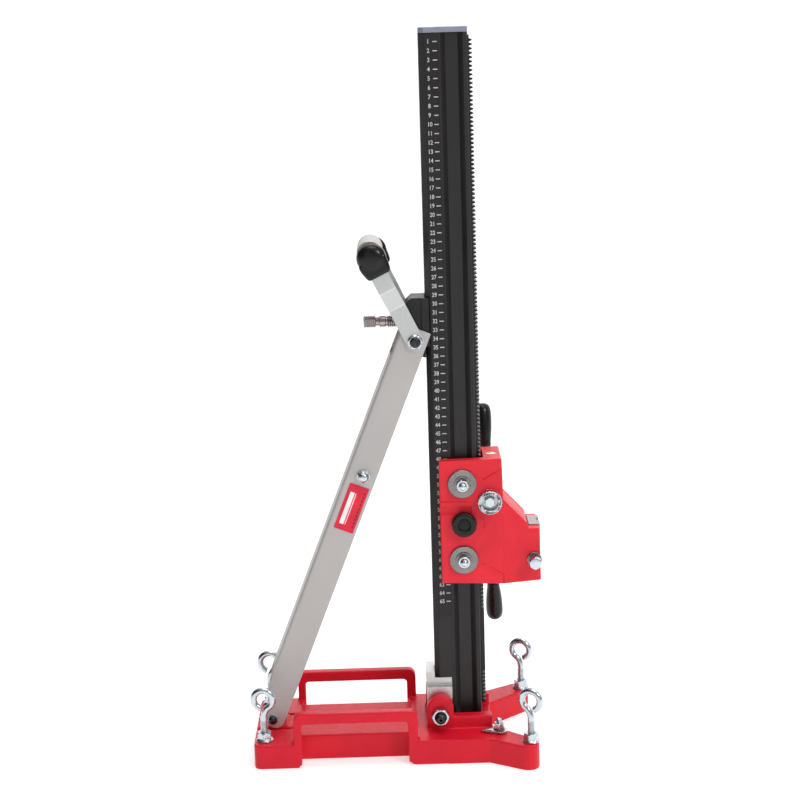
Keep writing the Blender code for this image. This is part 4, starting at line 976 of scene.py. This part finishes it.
def make_grip(inner, outer):
    """A metal tube between two moulded caps, whose skirts hold the ends of the straps."""
    centre = lever_point(CAP_AT, CAP_OUT)
    tube = [(7.4, TUBE_END), (13.9, TUBE_END), (14.4, TUBE_END - 0.5), (14.4, 0.5 - TUBE_END),
            (13.9, -TUBE_END), (7.4, -TUBE_END)]
    fasten("grip_tube", tube, lever_point(TUBE_AT, TUBE_OUT), NEAR, "lever", "lever_grip",
           material=TUBE_METAL, slot="blasted_aluminium", sides=96, closed=True, bevel=0.1)
    start = TUBE_END + 0.3
    dome = [(0, GRIP_END), (4, GRIP_END - 0.1), (7.4, GRIP_END - 0.5), (10.2, GRIP_END - 1.3),
            (12.6, GRIP_END - 2.5), (14.6, GRIP_END - 4.2), (15.9, GRIP_END - 6.4),
            (16.6, GRIP_END - 9.0), (16.9, GRIP_END - 11.5), (16.9, start), (0, start)]
    outline = [(point.x, point.z) for point in (lever_point(*corner) for corner in SKIRT)]
    slot = [(point.x, point.z) for point in
            (lever_point(up, side * (LEVER_WIDTH + 0.3)) for up, side in
             ((60, -1), (GRIP_AT + 0.6, -1), (GRIP_AT + 0.6, 1), (60, 1)))]
    reach = outer + SPREAD + 1.0
    for name, side in (("near", -1), ("far", 1)):
        cap = turned("cap_" + name, dome, centre, (0, side, 0), PLASTIC, 72, bevel=0)
        near, far = sorted((side * start, side * (GRIP_END - 2.6)))
        join(cap, settle(slab("skirt", outline, "XZ", near, far, PLASTIC, 3.4, 5)))
        rounded_skin(cap, 0.7, 8, lambda count: 0.4)
        cut(cap, bar("bore", lever_point(GRIP_AT, GRIP_OUT, side * 20),
                     lever_point(GRIP_AT, GRIP_OUT, side * reach), 7.2))
        near, far = sorted((side * (inner + SPREAD - 5), side * (outer + SPREAD + 0.3)))
        cut(cap, slab("slot", slot, "XZ", near, far))
        cap.data.set_sharp_from_angle(angle=math.radians(45))
        show(cap, "lever", "black_plastic", "grip_cap_" + name)


def make_lever_pivot(outer):
    face = outer + 0.3
    end = -span("lever_pivot_bolt")[0].y
    profile = [(0, end - 0.7), (2.2, end - 0.7), (2.8, end - 0.1), (3.6, end), (4.6, end - 0.3),
               (5.5, end - 1.0), (5.9, end - 2.0), (5.9, face), (5.9, -face), (0, -face)]
    centre = (BRACE_TOP.x, 0, BRACE_TOP.z)
    fasten("pivot_stud", profile, centre, NEAR, "clamp", "lever_pivot_bolt", material=OXIDE, bevel=0)
    across = 13.4
    for name, axis, top in (("near", NEAR, face + 5.0), ("far", FAR, face + 6.4)):
        nut = [(6.0, top - 2.2), (6.2, top - 1.6), (hexed(across, 6.9), top - 1.6),
               (hexed(across, 7.3), top - 2.0), (hexed(across), top - 2.4), (hexed(across), face + 2.2),
               (8.2, face + 1.6), (8.6, face + 1.0), (8.6, face + 0.2), (8.4, face), (6.0, face)]
        fasten("lever_flange_nut_" + name, nut, centre, axis, "clamp", closed=True, bevel=0.1, roll=0.2)
    tip = [(0, face + 7.6), (4.0, face + 7.6), (4.6, face + 7.0), (4.6, face), (0, face)]
    fasten("pivot_tip_far", tip, centre, FAR, "clamp", bevel=0.1)


# ---------------------------------------------------------------- carriage
CARRIAGE_Y = 32.0
CARRIAGE_INNER = 20.6
CHANNEL_X = 9.5
ROLLERS_Z = {"upper": 321.0, "lower": 231.0}
FAST = middle("feed_pinion")
SLOW = middle("slow_feed_pinion")
LOCK = middle("lock_knob")
CLAMP = middle("motor_clamp_bolt")
BANDS = ((19.4, 284.4, 1.5, 294.4), (14.0, 299.0, 0.9, 301.2))      # end, bottom, depth and top
LINES = (((32.8, 325.0), (55.0, 337.4)), ((29.6, 226.3), (54.8, 212.3)),
         ((54.8, 212.3), (54.8, 199)), ((33, 281), (33, 268)))      # engraved on both side faces


def groove(start, end, side=-1, width=1.0):
    """A vee cut along a line of one of the carriage's side faces."""
    y = side * (CARRIAGE_Y + 0.1)
    return bar("groove", (start[0], y, start[1]), (end[0], y, end[1]), width, sides=6)


def make_carriage():
    y = CARRIAGE_Y
    outline = [(-16.2, 203), (54.8, 200.4), (98.0, 203.6), (97.0, 266), (83.8, 266), (83.8, 271.5),
               (56.2, 301), (55.0, 349.2), (35, 348.6), (-16.6, 347.6)]
    body = settle(slab("carriage_body", outline, "XZ", -y, y, CARRIAGE_RED, 1.7, 4))
    inner = CARRIAGE_INNER
    cut(body, block("way", (-40, -inner, 150), (34.6, inner, 400)),
        block("bend_highlight", (30, -8.4, 227), (64.6, 8.4, 264.6)),
        block("bend_highlight", (30, -8.4, 264), (53, 8.4, 313.4)),
        block("bend_highlight", (84.4, -18.6, 190), (110, 18.6, 280)))
    for z in ROLLERS_Z.values():
        for side in (-1, 1):
            cut(body, bar("pocket", (CHANNEL_X, side * 15, z), (CHANNEL_X, side * 27.4, z), 13.4),
                bar("bore", (CHANNEL_X, side * 20, z), (CHANNEL_X, side * 40, z), 5.3))
    cut(body, bar("bore", (FAST.x, 5, FAST.z), (FAST.x, 40, FAST.z), 11.3),
        bar("bore", (FAST.x, -26, FAST.z), (FAST.x, -5, FAST.z), 8.3),
        bar("bore", (SLOW.x, -40, SLOW.z), (SLOW.x, 26, SLOW.z), 7.2),
        bar("bore", (LOCK.x, -40, LOCK.z), (LOCK.x, -15, LOCK.z), 5.3),
        bar("bore", (CLAMP.x, -40, CLAMP.z), (CLAMP.x, 40, CLAMP.z), 4.4),
        bar("pocket", (44.5, 0, 341), (44.5, 0, 360), 7.3))
    for side in (-1, 1):
        for length, low, slope, high in BANDS:
            floor = y - slope
            shape = [(side * (y + 2), low), (side * y, low), (side * floor, low + slope * 1.3),
                     (side * floor, high), (side * (y + 2), high)]
            cut(body, slab("band", shape, "YZ", -20, length, CARRIAGE_RED))
        cut(body, groove((55.6, 300), (55.0, 212), side, 0.35))
        for start, end in LINES:
            cut(body, groove(start, end, side))
        for across in (19.0, 24.0):
            cut(body, bar("slope_line", (57.5, side * across, 299.7), (81.5, side * across, 274.0),
                          0.8, sides=6))
    body.data.shade_smooth()
    body.data.set_sharp_from_angle(angle=math.radians(34))
    flatten(body)
    show(body, "carriage", "red_paint", "carriage_casting")
    dress("motor_plate", PLATE_METAL, 0.3)


def make_rollers():
    for height, z in ROLLERS_Z.items():
        for name, side in (("near", -1), ("far", 1)):
            where = "%s_%s" % (height, name)
            node = "roller_" + where
            out = (0, side, 0)
            place = (CHANNEL_X, 0, z)
            profile = [(5.4, 26.8), (12.4, 26.8), (12.7, 26.5), (12.7, 21.0), (12.1, 20.0), (8.2, 15.8),
                       (7.9, 15.6), (5.4, 15.6)]
            fasten("vee_" + node, profile, place, out, node, node, material=STEEL, slot="bare_steel",
                   closed=True, bevel=0.1)
            face = CARRIAGE_Y + 0.3
            plate = [(4.1, 35), (9.2, 35), (16.0, 34.9), (16.5, 34.4), (16.5, face), (4.1, face)]
            fasten("large_washer_" + where, plate, place, out, "carriage", "roller_axle_" + where,
                   material=WASHER, sides=72, closed=True, bevel=0.15)
            fasten("small_washer_" + where, washer(4.1, 9.6, 35.05, 37, 0.3), place, out, "carriage",
                   material=WASHER, closed=True, bevel=0.12)
            turn = 0.3 if height == "upper" else 0.75
            fasten("axle_nut_" + where, nut_profile(13, 37.1, 44.5, 4.1), place, out, "carriage",
                   closed=True, bevel=0.12, roll=turn)
            rod = [(0, 50), (1.6, 49.9), (2.8, 49.5), (3.4, 49)] + thread(4, 37, 48.6, 1.25, 0.3)
            rod += [(4, 36.5), (5, face), (5, 14.9), (6.1, 14.8), (6.1, 14.0), (0, 13.9)]
            fasten("axle_rod_" + where, rod, place, out, "carriage", bevel=0)


def make_drives():
    dress("feed_pinion", STEEL, 0.15)
    dress("feed_bushing", STEEL, 0.3)
    dress("slow_feed_pinion", ZINC, 0.1)
    face = CARRIAGE_Y + 0.25
    centre = (SLOW.x, 0, SLOW.z)
    socket = [(0, 35.4), (7.6, 35.4), (8.9, 35.8), (9.05, 37), (9.2, 42.0), (9.7, 42.6), (12.8, 42.6),
              (13.5, 42.2), (13.8, 41.5), (13.8, 34.6), (13.5, 34.2), (13.5, 33.4), (13.8, 33.0),
              (13.8, face), (0, face)]
    fasten("socket_ring", socket, centre, NEAR, "slow_drive", material=SOCKET, sides=72, bevel=0.15)
    bolt = [(0, 38.2), (3.2, 38.4), (hexed(10.2, 5.2), 38.4), (hexed(10.2), 37.8), (hexed(10.2), 35.3),
            (0, 35.3)]
    fasten("socket_hexagon", bolt, centre, NEAR, "slow_drive", bevel=0.15, roll=0.2)
    make_lock()
    make_motor_bolt()
    make_level()


def make_lock():
    face = CARRIAGE_Y + 0.3
    dress("lock_plunger", STEEL, 0.3)
    centre = (LOCK.x, 0, LOCK.z)
    knob = [(7.2, 42.6), (7.8, 43.1), (9.4, 43.3), (12.0, 43.4), (13.2, 43.1), (13.9, 42.5),
            (14.3, 41.4), (14.3, face + 2.4), (13.9, face + 1.2), (13.2, face), (3.8, face),
            (3.8, 41.4), (7.0, 41.4)]
    fasten("knob_rim", knob, centre, NEAR, "lock", "lock_knob", material=PLASTIC,
           slot="black_plastic", sides=72, closed=True, bevel=0.15)
    cap = [(0, 42.0), (6.0, 41.9), (6.9, 41.6), (6.9, 41.0), (0, 41.0)]
    fasten("knob_cap", cap, centre, NEAR, "lock", material=KNOB_FACE, slot="black_plastic", bevel=0.1)


def make_motor_bolt():
    face = CARRIAGE_Y + 0.3
    centre = (CLAMP.x, 0, CLAMP.z)
    end = span("motor_clamp_bolt")[1].y
    across = 13
    rod = [(0, 47), (4.2, 47), (4.7, 46.5), (6.2, 46.2), (6.2, 34.6), (4, 34.4), (4, -face), (7.3, -face),
           (7.6, -face - 0.3), (7.6, -face - 1.6), (0, -face - 1.6)]
    fasten("clamp_rod", rod, centre, NEAR, "motor_bolt", "motor_clamp_bolt", bevel=0.12)
    head = [(0, 51.5), (5.6, 51.5), (hexed(across, 6.6), 51.2), (hexed(across, 7.1), 50.7),
            (hexed(across), 50.1), (hexed(across), 44.9), (hexed(across, 7.0), 44.2), (0, 44.0)]
    fasten("clamp_head", head, centre, NEAR, "motor_bolt", bevel=0.12)
    tail = [(0, end), (5.4, end), (hexed(across, 6.6), end - 0.2), (hexed(across), end - 1.2),
            (hexed(across), face + 1.6), (0, face + 1.6)]
    fasten("clamp_tail", tail, centre, FAR, "motor_bolt", bevel=0.12)
    fasten("clamp_washer", washer(4.4, 8.6, face, 34.2, 0.3), centre, NEAR, "carriage",
           "motor_clamp_washer", material=WASHER, closed=True, bevel=0.1)


def make_level():
    centre = middle("bubble_level")
    base = (centre.x, centre.y, 0)
    ring = washer(5.7, 6.6, 341.4, 348.7)
    dome = [(0, 348.6), (2.4, 348.55), (4.4, 348.4), (5.6, 348.2), (5.6, 341.4), (0, 341.4)]
    drop = [(0, 348.68), (1.0, 348.62), (1.8, 348.5), (2.2, 348.3), (0, 348.2)]
    mark = [(3.1, 348.5), (3.4, 348.46), (3.4, 348.2), (3.1, 348.2)]
    for name, profile, material, closed, bevel in (
            ("ring", ring, VIAL_RIM, True, 0.1), ("glass", dome, VIAL, False, 0),
            ("drop", drop, BUBBLE, False, 0), ("mark", mark, PLASTIC, True, 0)):
        nodes = ("bubble_level",) if name == "glass" else ()
        fasten("level_" + name, profile, base, UP, "carriage", *nodes, material=material,
               slot="level_vial", closed=closed, bevel=bevel)


def make_feed_handle():
    hub_y, tip_y, reach, lean = 84.0, 117.4, 137.0, 0.039
    top = hub_y + 11
    centre = (FAST.x, 0, FAST.z)
    hub = [(0, top), (5, top), (8.6, top - 0.3), (11.4, top - 1.6), (12.8, top - 4), (13.6, top - 8),
           (14, top - 13), (14, top - 23), (13.6, top - 25.5), (12.2, top - 28.5), (11.6, top - 31),
           (11.5, 38.5), (12.3, 37.6), (12.3, 36.4), (8.3, 36.2), (8.3, 54.4), (0, 54.4)]
    fasten("handle_hub", hub, centre, FAR, "feed_drive", "feed_handle", bevel=0)
    middle_point = Vector((FAST.x, hub_y, FAST.z))
    for name, sign in (("lower", -1), ("upper", 1)):
        tip = Vector((FAST.x - sign * lean * reach, tip_y, FAST.z + sign * reach))
        along = tip - middle_point
        length = along.length
        arm = [(4.2, length - 9.2), (4.5, length - 9.6), (4.5, 17), (5.4, 14.6), (7.0, 12.4), (7, 4)]
        arm = [(0, length - 9)] + arm + [(0, 3)]
        fasten("handle_arm_" + name, arm, middle_point, along, "feed_drive", bevel=0)
        shape = [(0, 0.5), (3.4, 0.8), (6.0, 1.8), (8.2, 3.9), (9.5, 6.9), (10.1, 11), (10.3, 16),
                 (10.1, 23), (9.6, 31), (8.7, 39), (7.9, 45), (7.5, 48.5), (7.6, 51), (7.2, 53),
                 (6.4, 54), (4.7, 54), (4.7, 8.6), (0, 8.6)]
        grip = turned("grip_" + name, [(radius, length - down) for radius, down in shape], middle_point,
                      along, PLASTIC, 48, bevel=0)
        show(level(grip), "feed_drive", "black_plastic", "feed_grip_" + name)


# ---------------------------------------------------------------- light, floor and camera
def area_light(name, place, target, size, power, colour=(1, 1, 1)):
    light = bpy.data.lights.new(name, "AREA")
    light.shape = "DISK"
    light.size = size
    light.energy = power
    light.color = colour
    made = bpy.data.objects.new(name, light)
    made.location = place
    made.rotation_euler = (Vector(target) - Vector(place)).to_track_quat("-Z", "Y").to_euler()
    LINK(made)


def make_world():
    """Soft light that is bright behind the object and overhead, and dimmer behind the camera."""
    world = bpy.data.worlds.new("studio")
    world.use_nodes = True
    tree = world.node_tree
    add = tree.nodes.new
    background = tree.nodes["Background"]
    split = add("ShaderNodeSeparateXYZ")
    tree.links.new(add("ShaderNodeTexCoord").outputs["Generated"], split.inputs["Vector"])

    def ramp(axis, start, end, low, high):
        """Brightness that goes smoothly from low to high along one direction."""
        made = add("ShaderNodeMapRange")
        made.interpolation_type = "SMOOTHSTEP"
        for key, value in (("From Min", start), ("From Max", end), ("To Min", low), ("To Max", high)):
            made.inputs[key].default_value = value
        tree.links.new(split.outputs[axis], made.inputs["Value"])
        return made.outputs["Result"]

    def joined(operation, one, other):
        made = add("ShaderNodeMath")
        made.operation = operation
        tree.links.new(one, made.inputs[0])
        tree.links.new(other, made.inputs[1])
        return made.outputs["Value"]

    total = joined("ADD", ramp("Y", -0.5, 0.9, 0.2, 1.5), ramp("Z", 0.35, 0.95, 0.0, 0.4))
    light = joined("MULTIPLY", total, ramp("X", -0.8, -0.1, 0.06, 1.0))
    seen = add("ShaderNodeLightPath").outputs["Is Camera Ray"]      # the backdrop looks plain white
    background.inputs["Color"].default_value = (0.985, 0.99, 1.0, 1.0)
    tree.links.new(joined("MAXIMUM", light, seen), background.inputs["Strength"])
    bpy.context.scene.world = world


def make_floor():
    nodes = Nodes("pale_floor", 0.75, 0.0)
    nodes.shader.inputs["Emission Color"].default_value = (1, 1, 1, 1)
    nodes.shader.inputs["Emission Strength"].default_value = 0.42
    tone = nodes.mix(nodes.noise(nodes.place(), 3), (0.84, 0.84, 0.84), (0.87, 0.87, 0.87))
    shape = bmesh.new()
    half = 60000
    corners = ((-half, -half), (half, -half), (half, half), (-half, half))
    shape.faces.new([shape.verts.new((x, y, 0)) for x, y in corners])
    piece("floor", shape, nodes.finish(tone))


def make_camera():
    yaw, pitch, roll = 0.00194, 0.20909, -0.03037
    ahead = Vector((math.sin(yaw) * math.cos(pitch), math.cos(yaw) * math.cos(pitch), -math.sin(pitch)))
    right = Vector((math.cos(yaw), -math.sin(yaw), 0))
    up = right.cross(ahead)
    turned_right = right * math.cos(roll) + up * math.sin(roll)
    turned_up = up * math.cos(roll) - right * math.sin(roll)
    data = bpy.data.cameras.new("camera")
    data.sensor_width = 36.0
    data.lens = 85.98
    data.clip_end = 200.0
    made = bpy.data.objects.new("camera", data)
    turn = Matrix((turned_right, turned_up, -ahead)).transposed().to_4x4()
    made.matrix_world = Matrix.Translation((-0.0626, -2.14365, 0.8690)) @ turn
    LINK(made)
    bpy.context.scene.camera = made


make_camera()
make_world()
make_floor()
area_light("key", (1.7, -2.1, 2.1), (0, 0, 0.4), 0.7, 29.5)
area_light("fill", (-0.7, -2.6, 1.2), (0, 0, 0.35), 1.4, 2)
area_light("overhead", (0.1, -0.55, 2.6), (0, 0, 0.3), 1.4, 17)
bpy.context.scene.view_settings.view_transform = "Standard"

make_column()
make_ruler()
make_pivot_block()
make_base()
make_pivot_bolt()
make_stud()
make_pointer()
for foot in zip(FEET, EYE_HEADINGS, EYE_LIFTS):
    make_levelling(*foot)
make_brace()
make_label()
make_clamp()
make_lever()
make_carriage()
make_rollers()
make_drives()
make_feed_handle()
